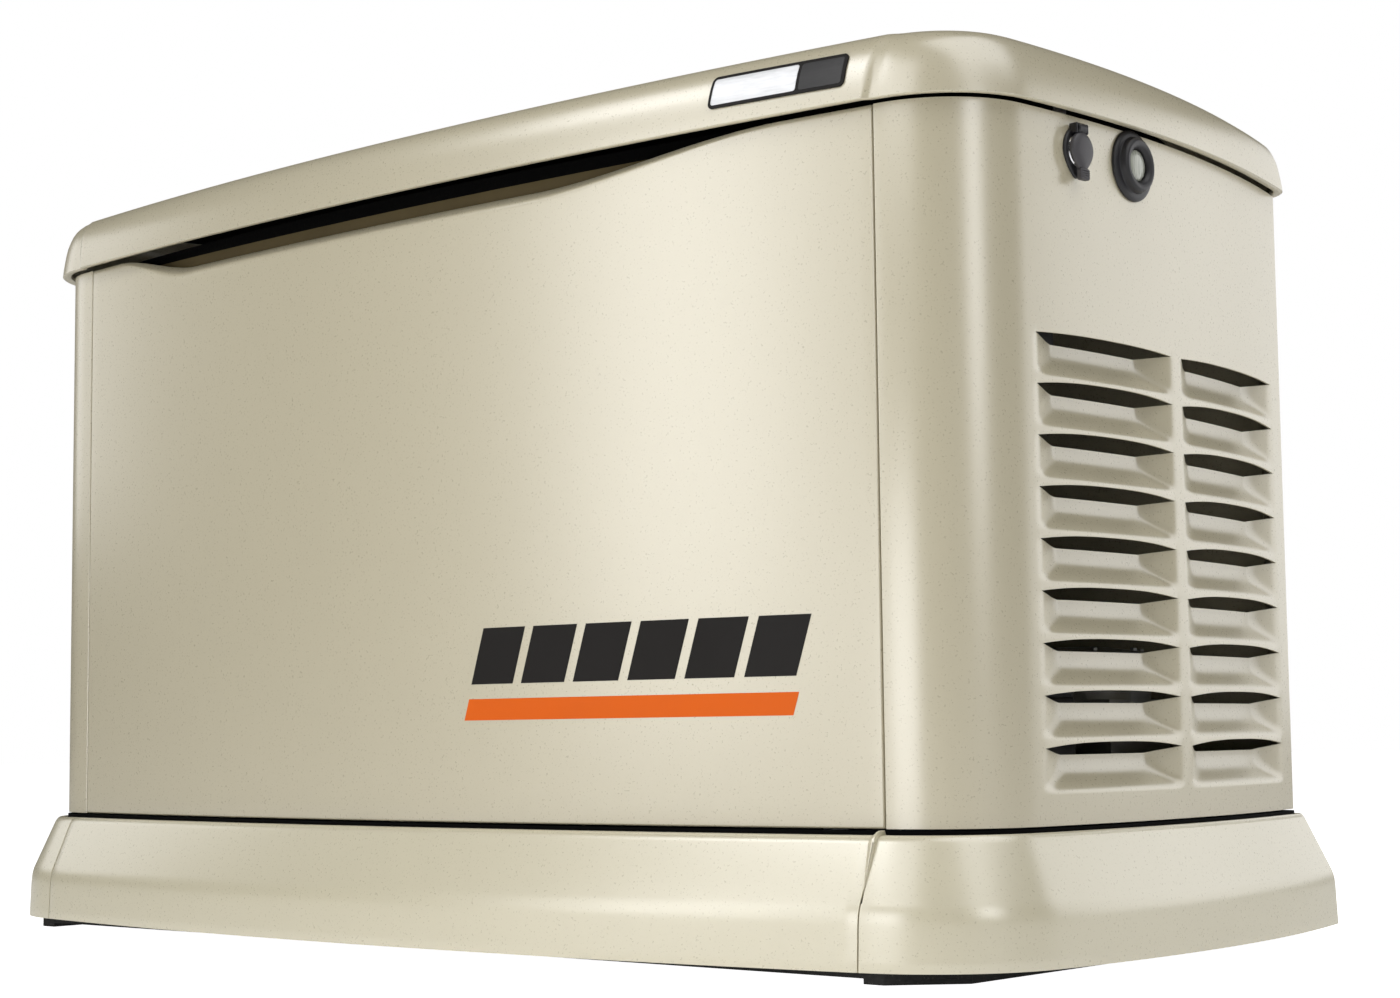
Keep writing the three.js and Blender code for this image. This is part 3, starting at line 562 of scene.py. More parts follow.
# near-black foam for the lid liner and the seals; on the front seal and the strip round the base the
# near-black is also painted shadow in the gaps
foam = plain_finish("black_foam_and_painted_shadow", "rubber", linear(7, 7, 7), 0.95, grain=300, grain_depth=0.6, mottle=0.25,
                    Specular_IOR_Level=0.1)
# painted shade: a dull olive-bronze for the strip behind the hand scoop, in place of the shade under the lid
scoop_painted_shade = plain_finish("scoop_painted_shade", "rubber", linear(106, 94, 66), 0.8, grain=500,
                            mottle=0.12, Specular_IOR_Level=0.15)
silver_film = brushed("silver_film", "zinc_steel", linear(205, 206, 208), 0.38, (0.06, 1, 1), metallic=0.35)
dark_film = brushed("dark_film", "grey_plastic", linear(34, 33, 34), 0.5, (0.06, 1, 1), metallic=0.1)
chrome = brushed("bright_chrome", "zinc_steel", (0.82, 0.82, 0.84, 1), 0.12, (1, 1, 1), metallic=1.0,
                 depth=0.004)

FINISH_FOR_SLOT = {finish.slot: finish for finish in (
    paint, pad_finish, zinc_sheet, black_steel, zinc_plate, black_plastic, grey_plastic, lens_finish,
    cast_aluminium, cast_iron, rotor_iron, rubber, display_glass, green_key, amber_key, red_key)}


# ---------------------------------------------------------------- camera, floor and light
WHITE = (1, 1, 1, 1)
AMBIENT = 0.02
FLOOR_GLOW, FLOOR_SEEN = 0.28, 1.05  # the floor's light on the machine, and as the camera sees it
FLOOR_HALF, FLOOR_SINK = 14, 0.0005  # in metres
CAMERA_PLACE = Vector((1576.13, -1710.53, 180.46))
CAMERA_YAW, CAMERA_PITCH, CAMERA_ROLL = -0.708544, 0.093762, -0.011447
CAMERA_LENS, CAMERA_SENSOR = 63.88, 36
BODY_MIDDLE, NEAR_FRONT, NEAR_LOW = (0.1, -0.1, 0.35), (0.4, -0.27, 0.3), (0.3, -0.27, 0.3)
SOFT_BOXES = {  # place and target in metres, width, height and watts
    "front_left_strip": ((-1.2, -2.92, 1.12), BODY_MIDDLE, 0.9, 1.9, 19),
    "front_high": ((-0.86, -2.15, 2.61), BODY_MIDDLE, 1.8, 0.9, 25),
    "left_side": ((-2.94, -0.64, 1.18), BODY_MIDDLE, 1.2, 1.2, 7.5),
    "rear_right": ((2.24, 2.45, 1.06), BODY_MIDDLE, 1.8, 1.8, 18),
    "rear": ((0.68, 3.17, 1.06), BODY_MIDDLE, 1.8, 1.8, 14),
    "right_side": ((3.09, -0.9, 1.18), BODY_MIDDLE, 0.8, 1.2, 10),
    "right_high": ((1.94, -0.1, 2.97), BODY_MIDDLE, 2.6, 2.6, 43),
    "near_front": ((0.5, -1.25, 1.15), NEAR_FRONT, 0.7, 0.7, 3),
    "near_low": ((0.45, -1.2, 0.25), NEAR_LOW, 0.5, 0.4, 2),
}


def make_camera():
    yaw, pitch, roll = CAMERA_YAW, CAMERA_PITCH, CAMERA_ROLL
    across = Vector((math.cos(yaw), -math.sin(yaw), 0))
    ahead = Vector((math.sin(yaw) * math.cos(pitch), math.cos(yaw) * math.cos(pitch), math.sin(pitch)))
    up = across.cross(ahead)
    tilted_across = across * math.cos(roll) + up * math.sin(roll)
    tilted_up = up * math.cos(roll) - across * math.sin(roll)
    data = bpy.data.cameras.new("camera")
    data.lens = CAMERA_LENS
    data.sensor_width = CAMERA_SENSOR
    camera = bpy.data.objects.new("camera", data)
    columns = Matrix((tilted_across, tilted_up, -ahead)).transposed()
    camera.matrix_world = Matrix.Translation(CAMERA_PLACE * MM) @ columns.to_4x4()
    bpy.context.scene.collection.objects.link(camera)
    bpy.context.scene.camera = camera


def soft_box(name, place, target, width, height, power):
    data = bpy.data.lights.new(name, "AREA")
    data.shape = "RECTANGLE"
    data.size = width
    data.size_y = height
    data.energy = power
    light = bpy.data.objects.new(name, data)
    light.location = place
    light.rotation_euler = (Vector(target) - Vector(place)).to_track_quat("-Z", "Y").to_euler()
    bpy.context.scene.collection.objects.link(light)


def make_world():
    world = bpy.data.worlds.new("studio")
    bpy.context.scene.world = world
    world.use_nodes = True
    tree = world.node_tree
    fill = tree.nodes["Background"]
    fill.inputs["Color"].default_value = WHITE
    fill.inputs["Strength"].default_value = AMBIENT
    backdrop = tree.nodes.new("ShaderNodeBackground")
    backdrop.inputs["Strength"].default_value = 1.0
    backdrop.inputs["Color"].default_value = WHITE
    path = tree.nodes.new("ShaderNodeLightPath")
    choose = tree.nodes.new("ShaderNodeMixShader")
    tree.links.new(path.outputs["Is Camera Ray"], choose.inputs["Fac"])
    tree.links.new(fill.outputs["Background"], choose.inputs[1])
    tree.links.new(backdrop.outputs["Background"], choose.inputs[2])
    tree.links.new(choose.outputs["Shader"], tree.nodes["World Output"].inputs["Surface"])


def make_floor():
    bm = bmesh.new()
    bmesh.ops.create_grid(bm, x_segments=8, y_segments=8, size=FLOOR_HALF)
    mesh = bpy.data.meshes.new("floor")
    bm.to_mesh(mesh)
    bm.free()
    floor = bpy.data.objects.new("floor", mesh)
    floor.location.z = -FLOOR_SINK
    bpy.context.scene.collection.objects.link(floor)
    nodes = Nodes("pale_floor")
    soft = nodes.noise(1.5)
    seen = nodes.add("LightPath").outputs["Is Camera Ray"]
    nodes.set(Base_Color=nodes.mix(soft, (0.86, 0.86, 0.855, 1), (0.9, 0.9, 0.895, 1)), Roughness=0.7,
              Emission_Color=WHITE, Emission_Strength=nodes.mapped(seen, 0, 1, FLOOR_GLOW, FLOOR_SEEN))
    mesh.materials.append(nodes.material)


make_camera()
make_world()
make_floor()
bpy.context.scene.view_settings.view_transform = "Standard"
for name, box in SOFT_BOXES.items():
    soft_box(name, *box)


# ---------------------------------------------------------------- fascia
def fascia_rows(path):
    """The fascia's section from the foot, over the knee and the sloped face, to the turned-in lip"""
    corners = [(*FASCIA_FOOT, FOOT_Z), (*FASCIA_KNEE, KNEE_Z), (*FASCIA_TOP, FASCIA_Z),
               (*FASCIA_LIP, FASCIA_Z), (*FASCIA_LIP, FASCIA_Z - 3)]
    section = rounded_path(corners, (9, 8, 2.5))
    start, steep = section[0], section[1]
    section[0:1] = [start + (steep - start) * i / 4 for i in range(5)]
    return [[(x, y, point[5]) for x, y in path(Outline(*point[:5]))] for point in section]


def make_fascia():
    half = SEAM_GAP / 2
    left, right = FASCIA_SEAM_LEFT + half, FASCIA_SEAM_RIGHT - half

    def front(outline):
        return [(x, front_face(outline, x)) for x in spaced(left, right, 12)]

    def rear(outline):
        return [(x, outline.back) for x in spaced(FASCIA_BACK_SEAM - half, half - FASCIA_BACK_SEAM, 60)]

    def end(seam):
        return lambda outline: half_outline(outline, seam + half, FASCIA_BACK_SEAM + half)

    stretches = {
        "fascia_front": skin(fascia_rows(front)),
        "fascia_rear": skin(fascia_rows(rear)),
        "fascia_right_end": skin(fascia_rows(end(FASCIA_SEAM_RIGHT))),
        "fascia_left_end": mirrored(skin(fascia_rows(end(-FASCIA_SEAM_LEFT)))),
    }
    for node, bm in stretches.items():
        fixed(f"{node}_moulding", bm, fascia_paint_with_painted_light, node, thickness=3.6, bevel=0.5)


# ---------------------------------------------------------------- louvred end panels
def louvre_recess(y, below):
    """How deep an end panel is pressed in at y, at a distance below a slit's tips"""
    depth = 0
    for start, end in LOUVRE_COLUMNS:
        from_tip = min(y - start, end - y)
        ramp = min(LOUVRE_DEPTH, LOUVRE_DEPTH * from_tip / LOUVRE_RAMP)
        slope = LOUVRE_DEPTH * (LOUVRE_FLUSH - below) / (LOUVRE_FLUSH - LOUVRE_FOLD)
        depth = max(depth, soft_max(soft_min(ramp, soft_min(slope, LOUVRE_DEPTH, 10), 6), 0, 2.4))
    return depth


def slit_share(y):
    """0 outside the slits and at their tips, 1 where the end ramps are over"""
    return max(clamp(min(y - start, end - y) / LOUVRE_RAMP) for start, end in LOUVRE_COLUMNS)


def arch(y):
    for start, end in LOUVRE_COLUMNS:
        if start < y < end:
            across = abs(2 * (y - start) / (end - start) - 1)
            return LOUVRE_ARCH * (1 - across ** 2.6)
    return 0


def lock_emboss(y, z):
    """A low round boss pressed out around the lock"""
    distance = math.hypot(y - LOCK_Y, z - LOCK_Z)
    return EMBOSS_HEIGHT * (1 - smooth((distance - EMBOSS_RADIUS) / EMBOSS_EASE))


Level = namedtuple("Level", "height recess")  # both functions of y on the end face


def louvre_levels():
    """Rows of the end panel from bottom to top, and which of them are slits"""
    def flat(z):
        return Level(lambda y, x: z, lambda y: 0)

    lowest = LOUVRE_TOP - (LOUVRE_ROWS - 1) * LOUVRE_PITCH - LOUVRE_FLUSH - 3
    levels = [flat(z) for z in spaced(PANEL_BOTTOM, lowest, 6)]
    slits = []
    for row in reversed(range(LOUVRE_ROWS)):
        tip = LOUVRE_TOP - row * LOUVRE_PITCH
        for share in reversed(spaced(0, 1, 1 / 16)):
            def height(y, x, tip=tip, share=share):
                return tip - LOUVRE_LIP * slit_share(y) * (1 - share) - (LOUVRE_FLUSH + 1.5) * share

            def recess(y, share=share):
                below = LOUVRE_LIP * slit_share(y) * (1 - share) + (LOUVRE_FLUSH + 1.5) * share
                return louvre_recess(y, below) if share or slit_share(y) else 0
            levels.append(Level(height, recess))
        slits.append(len(levels) - 1)
        rise = 0.5 if row == 0 else 1
        levels.append(Level(lambda y, x, tip=tip, rise=rise: tip + arch(y) * rise, lambda y: 0))
    upper = LOUVRE_TOP + LOUVRE_ARCH
    last_flat = LOCK_Z + 14
    levels += [flat(z) for z in through([upper + 2, LOCK_Z - 32, last_flat], 3.0)]
    for share in (0.4, 1):
        levels.append(Level(lambda y, x, share=share: last_flat + (panel_top(x) - last_flat) * share,
                            lambda y: 0))
    return levels, slits


def end_panel(seam):
    """The skin of an end panel, built at the right end, with its front flange"""
    stops = sorted(stop for start, end in LOUVRE_COLUMNS
                   for stop in (start, start + LOUVRE_RAMP, end - LOUVRE_RAMP, end))
    start = seam + SEAM_GAP / 2
    path = half_outline(BODY, start, 540.6, 2.6, stops)
    levels, slits = louvre_levels()
    rows = []
    for level in levels:
        row = []
        for x, y in path:
            z = level.height(y, x)
            on_end = x > end_face(BODY, y) - 0.5
            push = (level.recess(y) - lock_emboss(y, z)) if on_end else 0
            turn = math.asin(clamp(y / SIDE_BOW, -1, 1))
            row.append((x - push * math.cos(turn), y - push * math.sin(turn), z))
        flange = [(start, path[0][1] + inward, row[0][2]) for inward in (22, 14, 7, 2.5, 0.8)]
        rows.append(flange + [(start + 0.6, row[0][1] + 0.1, row[0][2])] + row[1:])
    return skin(rows, slits=slits)


def make_end_panels():
    right = end_panel(SEAM_RIGHT)
    left = mirrored(end_panel(-SEAM_LEFT))
    for node, bm in {"intake_side_panel": right, "exhaust_side_panel": left}.items():
        fixed(f"{node}_pressing", bm, paint, node, thickness=1.8, angle=38)


# ---------------------------------------------------------------- front access panel
SCOOP_LEFT, SCOOP_RIGHT = -425, 415
SCOOP_EASE_LEFT, SCOOP_EASE_RIGHT = 120, 260
SCOOP_DEPTH, SCOOP_DIP, SCOOP_RISE = 12, 23, 6  # the fold dips below the edge, then the turned-in part rises
FOLD_STEPS, FACE_STEPS = 7, 40


def scoop_share(x):
    """0 beside the hand scoop, 1 where it is deepest"""
    left = smooth((x - SCOOP_LEFT) / SCOOP_EASE_LEFT)
    right = smooth((SCOOP_RIGHT - x) / SCOOP_EASE_RIGHT)
    return min(left, right)


def make_front_panel():
    left = SEAM_LEFT + SEAM_GAP / 2
    right = SEAM_RIGHT - SEAM_GAP / 2
    flange = 18
    columns = []
    for x in spaced(left, right, 6):
        y = front_face(BODY, x)
        share = scoop_share(x)
        fold = panel_top(x) - SCOOP_DIP * share - 3
        top = fold + SCOOP_RISE * share + 3
        scoop = SCOOP_DEPTH * share
        section = rounded_path([
            (y + flange, PANEL_BOTTOM), (y, PANEL_BOTTOM), (y, fold), (y + 0.8 + scoop, top),
            (y + flange + 4, top),
        ], (2.2, 0.8 + 3.4 * share, 1), steps=FOLD_STEPS)
        upright = FOLD_STEPS + 2  # where the upright stretch ends, after the path's start and one curve
        section[upright:upright] = divided(section[upright - 1], section[upright], FACE_STEPS)[1:-1]
        columns.append([(x, point[0], point[1]) for point in section])
    edge = 0.9

    def side_flange(column, x, direction):
        return [[(x + direction * edge * 0.3, y + edge, z), (x, y + edge * 2.2, z), (x, y + flange, z)]
                for _, y, z in column]

    rows = []
    left_flange = side_flange(columns[0], left, 1)
    right_flange = side_flange(columns[-1], right, -1)
    for index in range(len(columns[0])):
        middle = [column[index] for column in columns]
        middle[0] = (left + edge, middle[0][1], middle[0][2])
        middle[-1] = (right - edge, middle[-1][1], middle[-1][2])
        rows.append(left_flange[index][::-1] + middle + right_flange[index])
    make("front_access_panel_pressing", skin(rows), "front_panel", paint, "front_access_panel",
         thickness=1.6, angle=40)


# ---------------------------------------------------------------- lid
CREASE_LEFT, CREASE_RIGHT = (-479, -489), (490, 500)  # foot and head of each slanted crease
CREASE_STEP = 3.4


def crease_raise(x, share):
    """How proud the lid's middle stands at x; share is 0 at the eave and 1 at the roof"""
    width = 5 + 2 * share
    right = (CREASE_RIGHT[0] + (CREASE_RIGHT[1] - CREASE_RIGHT[0]) * share + width - x) / width
    left = (x - CREASE_LEFT[0] - (CREASE_LEFT[1] - CREASE_LEFT[0]) * share + width) / width
    inside = clamp(soft_min(soft_min(left, right, 0.3), 1, 0.25))
    return CREASE_STEP * inside


# the edge band's section: inset from the eave, and share of the way from the eave to the crown
BAND = ((0, 0.01), (-0.25, 0.05), (-0.6, 0.12), (-1.6, 0.25), (-3.2, 0.42), (-4.8, 0.545), (-7, 0.66),
        (-9.2, 0.755), (-12, 0.84), (-15, 0.9), (-19, 0.96), (-24, 1))
LID_CROWN = 33


LID_HEM = ((-9, 3.4), (-8.2, 0.9), (-6, 0), (-2.4, -0.5), (-0.8, -0.1))  # inset and lift under the eave
CROWN_RINGS = (0.985, 0.96, 0.92, 0.86, 0.78, 0.68, 0.56, 0.42, 0.28, 0.14, 0.02)
CREASE_REACH = 540  # the creases fade out before the corners


def crown_lift(scale):
    """How far the roof rises over its edge band, at a ring that is its edge scaled towards the middle"""
    return (LID_CROWN - CREASE_STEP) * (1 - scale ** 2)


def lid_rows():
    rows = []
    step = 1.6

    def ring(outline, share, height):
        row = []
        for x, y in whole_outline(outline, step):
            out = crease_raise(x, share) if y < 0 and abs(x) < CREASE_REACH else 0
            row.append((x, y - out, height(x, y)))
        return row

    rows += [ring(grown(EAVE, inset), 0, lambda x, y, lift=lift: eave_height(x) + lift)
             for inset, lift in LID_HEM]
    for inset, share in BAND:
        def height(x, y, share=share):
            low = eave_height(x)
            return low + (band_top(x, y) - low) * share
        rows.append(ring(grown(EAVE, inset), share, height))
    edge = whole_outline(grown(EAVE, BAND[-1][0]), step)
    for scale in CROWN_RINGS:
        row = []
        ease = smooth((1 - scale) / 0.1)
        for x, y in edge:
            px, py = x * scale, y * scale
            raised = crease_raise(px, 1)
            out = raised * (1 - ease) if y < 0 and abs(x) < CREASE_REACH else 0
            row.append((px, py - out, band_top(px, py) + crown_lift(scale) + raised * ease))
        rows.append(row)
    return rows


def make_lid():
    rows = lid_rows()
    bm = skin(rows, loop=True)
    bmesh.ops.contextual_create(bm, geom=[edge for edge in bm.edges if edge.is_boundary
                                          and edge.verts[0].co.z > LID_TOP])
    make("lid_pressing", bm, "lid", paint, "lid", thickness=1.8, angle=22)


# ---------------------------------------------------------------- front graphic and lid badge
def front_print(name, corners, finish):
    """A printed patch on the front panel's face between (x, z) corners: bottom left, bottom right, top right,
    top left"""
    low_left, low_right, high_right, high_left = (Vector(corner) for corner in corners)
    rows = []
    for v in spaced(0, 1, 0.25):
        row = []
        for u in spaced(0, 1, 1 / 24):
            place = low_left.lerp(low_right, u).lerp(high_left.lerp(high_right, u), v)
            row.append((place.x, front_face(BODY, place.x) - 0.18, place.y))
        rows.append(row)
    make(name, skin(rows), "front_panel", finish, thickness=0.12)


def make_graphic():
    """A row of slanted blocks over a slanted bar"""
    left, right = 95.6, 431.6
    bottom, top = 222, 268
    slant = 14
    blocks = 6
    gap = 9
    width = (right - left - slant - gap * (blocks - 1)) / blocks
    for index in range(blocks):
        start = left + index * (width + gap)
        front_print(f"graphic_block_{index + 1}", (
            (start, bottom), (start + width, bottom), (start + width + slant, top), (start + slant, top)),
            black_print)
    bar_bottom, bar_top = 192.5, 210
    bar_slant = slant * (bar_top - bar_bottom) / (top - bottom)
    front_print("graphic_bar", (
        (left - 8, bar_bottom), (right - slant - 3, bar_bottom),
        (right - slant - 3 + bar_slant, bar_top), (left - 8 + bar_slant, bar_top)), orange_print)


BADGE_Y = -280  # about where the badge is, front to back


def lid_front(x, z):
    """Y of the lid's outer face at the front, at x and height z"""
    low = eave_height(x)
    share = (z - low) / (band_top(x, BADGE_Y) - low)
    for (inset0, share0), (inset1, share1) in zip(BAND, BAND[1:]):
        if share <= share1:
            inset = inset0 + (inset1 - inset0) * (share - share0) / (share1 - share0)
            break
    return front_face(grown(EAVE, inset), x) - crease_raise(x, share)


def badge_patch(name, left, right, bottom, top, proud, finish, radius=3.5, slant=0.06):
    """A slanted plate with rounded corners that follows the lid's front band"""
    middle_x, middle_z = (left + right) / 2, (bottom + top) / 2
    half_u, half_v = (right - left) / 2, (top - bottom) / 2
    turns = [1 - math.cos(math.pi / 2 * i / 5) for i in range(6)]
    levels = [-half_v + radius * turn for turn in turns]
    levels += spaced(-half_v + radius, half_v - radius, 2)[1:]
    levels += [half_v - radius * turn for turn in reversed(turns)][1:]
    rows = []
    for v in levels:
        past = max(0, abs(v) - (half_v - radius))
        reach = half_u - radius + math.sqrt(max(radius ** 2 - past ** 2, 0))
        row = []
        for u in spaced(-reach, reach, reach / 24):
            x = middle_x + u + slant * v
            z = middle_z + v
            row.append((x, lid_front(x, z) - proud, z))
        rows.append(row)
    make(name, skin(rows), "lid", finish, thickness=proud * 0.9, bevel=0.25)


def make_badge():
    left, right, bottom, top = 356, 477, 660.5, 687
    divider = 435
    rim = 2.6
    badge_patch("badge_base", left, right, bottom, top, 1.5, black_print, 4.5)
    badge_patch("badge_silver_field", left + rim, divider, bottom + rim, top - rim, 1.7, silver_film, 2.2)
    badge_patch("badge_dark_field", divider + rim, right - rim, bottom + rim, top - rim, 1.7, dark_film, 2.2)


# ---------------------------------------------------------------- locks and lamp
def end_frame(y, z):
    """Matrix of a frame on the right end's face: local Z straight out, local X back, local Y up"""
    turn = math.asin(y / SIDE_BOW)
    out = Vector((math.cos(turn), math.sin(turn), 0))
    back = Vector((-math.sin(turn), math.cos(turn), 0))
    columns = Matrix((back, Vector((0, 0, 1)), out)).transposed()
    return at(end_face(BODY, y), y, z) @ columns.to_4x4()


HINGE_UP = 17  # the flip cover's hinge above the lock's middle


def almond(half_width, top, bottom, steps=28):
    """Outline function of the flip cover: widest in the middle, tapering to its tab"""
    def outline(inset):
        points = []
        for i in range(steps * 2):
            turn = math.pi * i / steps
            up = math.sin(turn)
            reach = (half_width - inset) * (1 - 0.4 * max(0, -up) ** 1.5)
            points.append((reach * math.cos(turn), (top - inset if up > 0 else bottom - inset) * up))
        return points
    return outline


def lock_parts():
    """Body, bright ring and flip cover of a lock, in the frame of the end's face"""
    knuckle = moved(lathe(((0, -5), (3.6, -5), (4.4, -4.2), (4.4, 4.2), (3.6, 5), (0, 5)), 32),
                    at(0, HINGE_UP, 6.2) @ Matrix.Rotation(math.pi / 2, 4, "Y"))
    ears = [moved(stack(rounded_rectangle(1.1, 4, 1), ((0, 2), (0, 8.4), (0.6, 9.2))), at(x, HINGE_UP, 0))
            for x in (-6.6, 6.6)]
    body = joined(
        stack(almond(15.6, 19, 21), ((0, 0.3), (0, 2.2), (0.7, 3.1), (1.8, 3.5))),
        lathe(((0, 3.4), (10.6, 3.4), (10.6, 5.2), (9.6, 6), (0, 6)), 48), knuckle, *ears)
    ring = lathe(((10.7, 3.6), (12.4, 3.6), (12.7, 4.4), (12.2, 5.2), (11.2, 5.4), (10.7, 5),
                  (10.7, 3.6)), 56)
    tab = moved(stack(rounded_rectangle(5.4, 4.4, 1.6), ((0, 6.6), (0, 10.4), (0.6, 11))), at(0, -19, 0))
    ribs = [moved(stack(rounded_rectangle(4.6, 0.55, 0.5), ((0, 10.6), (0.25, 11.7))),
                  at(0, -21.6 + 1.8 * i, 0)) for i in range(4)]
    dome = stack(almond(13.4, 14, 17), (
        (0, 6.2), (0, 8.2), (0.5, 9.1), (1.6, 9.9), (3.6, 10.6), (6.5, 11.1)))
    return body, ring, joined(dome, tab, *ribs)


def make_locks():
    for side, flip in (("right", lambda bm: bm), ("left", mirrored)):
        body, ring, cover = (flip(moved(bm, end_frame(LOCK_Y, LOCK_Z))) for bm in lock_parts())
        fixed(f"lock_{side}_body_moulding", body, black_plastic, f"lock_{side}_body", bevel=0.25)
        fixed(f"lock_{side}_chrome_ring", ring, chrome)
        make(f"lock_{side}_cover_moulding", cover, f"{side}_lock_cover", grey_plastic, f"lock_{side}_cover",
             bevel=0.3)


def make_lamp():
    bezel = lathe(rounded_path((
        (16, -13), (16, 0.3), (28.5, 0.3), (28.3, 2.2), (25.8, 3.6), (22.4, 3.9), (21.4, 8.4), (19, 10),
        (15, 9.2), (13, 6.6), (13, -13), (16, -13),
    ), (0.2, 0.3, 0.8, 1, 0.8, 1, 1.2, 1.2, 0.8, 0.2), steps=4), 96)
    lens = lathe(((0, -12), (12.6, -12), (12.6, 4.6), (12.1, 5.4), (10.5, 6.1), (7, 6.8), (3, 7.1),
                  (0, 7.2)), 64)
    place = end_frame(LAMP_Y, LAMP_Z)
    fixed("status_lamp_bezel", moved(bezel, place), black_plastic, "status_light_bezel")
    fixed("status_lamp_lens", moved(lens, place), lens_finish, "status_light_lens")


# ---------------------------------------------------------------- pieces that keep the CAD's shape
def cad_copy(node):
    """A copy of a CAD node in millimetres, with its flat facets merged"""
    bm = bmesh.new()
    bm.from_mesh(frame["nodes"][node].data)
    bmesh.ops.remove_doubles(bm, verts=bm.verts, dist=1e-6)
    bmesh.ops.dissolve_limit(bm, angle_limit=math.radians(1), verts=bm.verts, edges=bm.edges)
    bmesh.ops.scale(bm, vec=(1 / MM, 1 / MM, 1 / MM), verts=bm.verts)
    return bm


def softened(node, width=0.6):
    """A CAD node with its edges eased, where its own shape is already the right one"""
    finish = FINISH_FOR_SLOT[SLOT_OF[node]]
    make(f"{node}_finished", cad_copy(node), BODY_OF[node], finish, node, bevel=width, angle=32)


# ---------------------------------------------------------------- shapes for the inner pieces
TURNS = {
    "x": Matrix.Rotation(math.pi / 2, 4, "Y"),
    "y": Matrix.Rotation(-math.pi / 2, 4, "X"),
    "z": Matrix.Identity(4),
}


def turned(axis, profile, centre, segments=64):
    """A turned body about a line along an axis: profile is (radius, place along the axis)"""
    u, v = centre
    place = {"x": (0, u, v), "y": (u, 0, v), "z": (u, v, 0)}[axis]
    return moved(lathe(profile, segments), at(*place) @ TURNS[axis])


def rod(axis, radius, start, end, centre, ease=0.6, segments=40):
    profile = ((0, start), (radius - ease, start), (radius, start + ease), (radius, end - ease),
               (radius - ease, end), (0, end))
    return turned(axis, profile, centre, segments)


def slab(x, y, z, corner=2.0, ease=0.6):
    """A block between limits in x, y and z, with rounded upright corners and eased rims"""
    half_x, half_y = (x[1] - x[0]) / 2, (y[1] - y[0]) / 2
    radius = min(corner, half_x * 0.98, half_y * 0.98)
    height = z[1] - z[0]
    levels = ((ease, 0), (ease * 0.3, ease * 0.3), (0, ease), (0, height - ease),
              (ease * 0.3, height - ease * 0.3), (ease, height))
    bm = stack(rounded_rectangle(half_x, half_y, radius, 5), levels)
    return moved(bm, at((x[0] + x[1]) / 2, (y[0] + y[1]) / 2, z[0]))


def block(half_x, half_y, z, corner, ease):
    """A slab about the origin"""
    return slab((-half_x, half_x), (-half_y, half_y), z, corner, ease)


def tube(points, radius, sides=16, steps=8):
    """A hose or wire along a smooth curve through points"""
    spots = [Vector(point) for point in points]
    padded = [spots[0] * 2 - spots[1], *spots, spots[-1] * 2 - spots[-2]]
    path = []
    for p0, p1, p2, p3 in zip(padded, padded[1:], padded[2:], padded[3:]):
        for i in range(steps):
            t = i / steps
            path.append(0.5 * (2 * p1 + (p2 - p0) * t + (2 * p0 - 5 * p1 + 4 * p2 - p3) * t ** 2
                               + (3 * p1 - p0 - 3 * p2 + p3) * t ** 3))
    path.append(spots[-1])
    side = Vector((0, 0, 1)) if abs((path[1] - path[0]).normalized().z) < 0.9 else Vector((1, 0, 0))
    rows = []
    for i, spot in enumerate(path):
        ahead = (path[min(i + 1, len(path) - 1)] - path[max(i - 1, 0)]).normalized()
        side = (side - ahead * side.dot(ahead)).normalized()
        up = ahead.cross(side)
        rows.append([spot + (side * math.cos(a) + up * math.sin(a)) * radius
                     for a in (FULL_TURN * k / sides for k in range(sides))])
    caps = [[spot] * sides for spot in (path[0], path[-1])]
    return skin([caps[0], *rows, caps[1]], loop=True)


def screw_head(place, axis, radius, height):
    """A hexagon flange screw standing proud of a face; axis is where its head points, such as -y"""
    head = joined(
        lathe(((0, 0), (radius * 1.35, 0), (radius * 1.35, 0.5), (radius * 1.05, 0.9), (0, 0.9)), 28),
        lathe(((0, 0.8), (radius, 0.8), (radius, height - 0.4), (radius - 0.5, height), (0, height)), 6))
    turn = TURNS[axis[-1]]
    if axis.startswith("-"):
        turn = Matrix.Rotation(math.pi, 4, "X" if axis[-1] != "x" else "Z") @ turn
    return moved(head, at(*place) @ turn)


def fixed_screws(name, places, axis, radius, height):
    """Alike zinc-plated screws as one piece"""
    fixed(name, joined(*(screw_head(place, axis, radius, height) for place in places)), zinc_plate)


def ring_of(count, radius, build):
    """Copies of a piece placed round a circle; build takes an angle and its place on the circle"""
    turns = (FULL_TURN * i / count for i in range(count))
    return [build(a, radius * math.cos(a), radius * math.sin(a)) for a in turns]


# ---------------------------------------------------------------- engine
CRANK_Z = 230
CRANK_LINE = (0, CRANK_Z)  # where the crankshaft crosses y and z
CYLINDER_X = -100
LEANS = (("front", 1), ("rear", -1))
FIN_COUNT, FIN_PITCH, FIRST_FIN = 9, 9.6, 101
BARREL_RADIUS, FIN_RADIUS = 50, 61
BARREL_START, BARREL_END = 98.4, 188
PORT_FACE, PORT_UP = -86, 213  # the exhaust port's flange, across and along the cylinder
PLUG_LINE = (20, 212)
SHAFT_RADIUS, HUB_BORE = 20, 20.3
FAN_BLADES, BLADE_LEAN = 20, 0.22


def cylinder_frame(lean):
    """Frame of a cylinder that leans 45 degrees to the front (1) or the back (-1): local Z is its axis"""
    return at(CYLINDER_X, 0, CRANK_Z) @ Matrix.Rotation(lean * math.pi / 4, 4, "X")


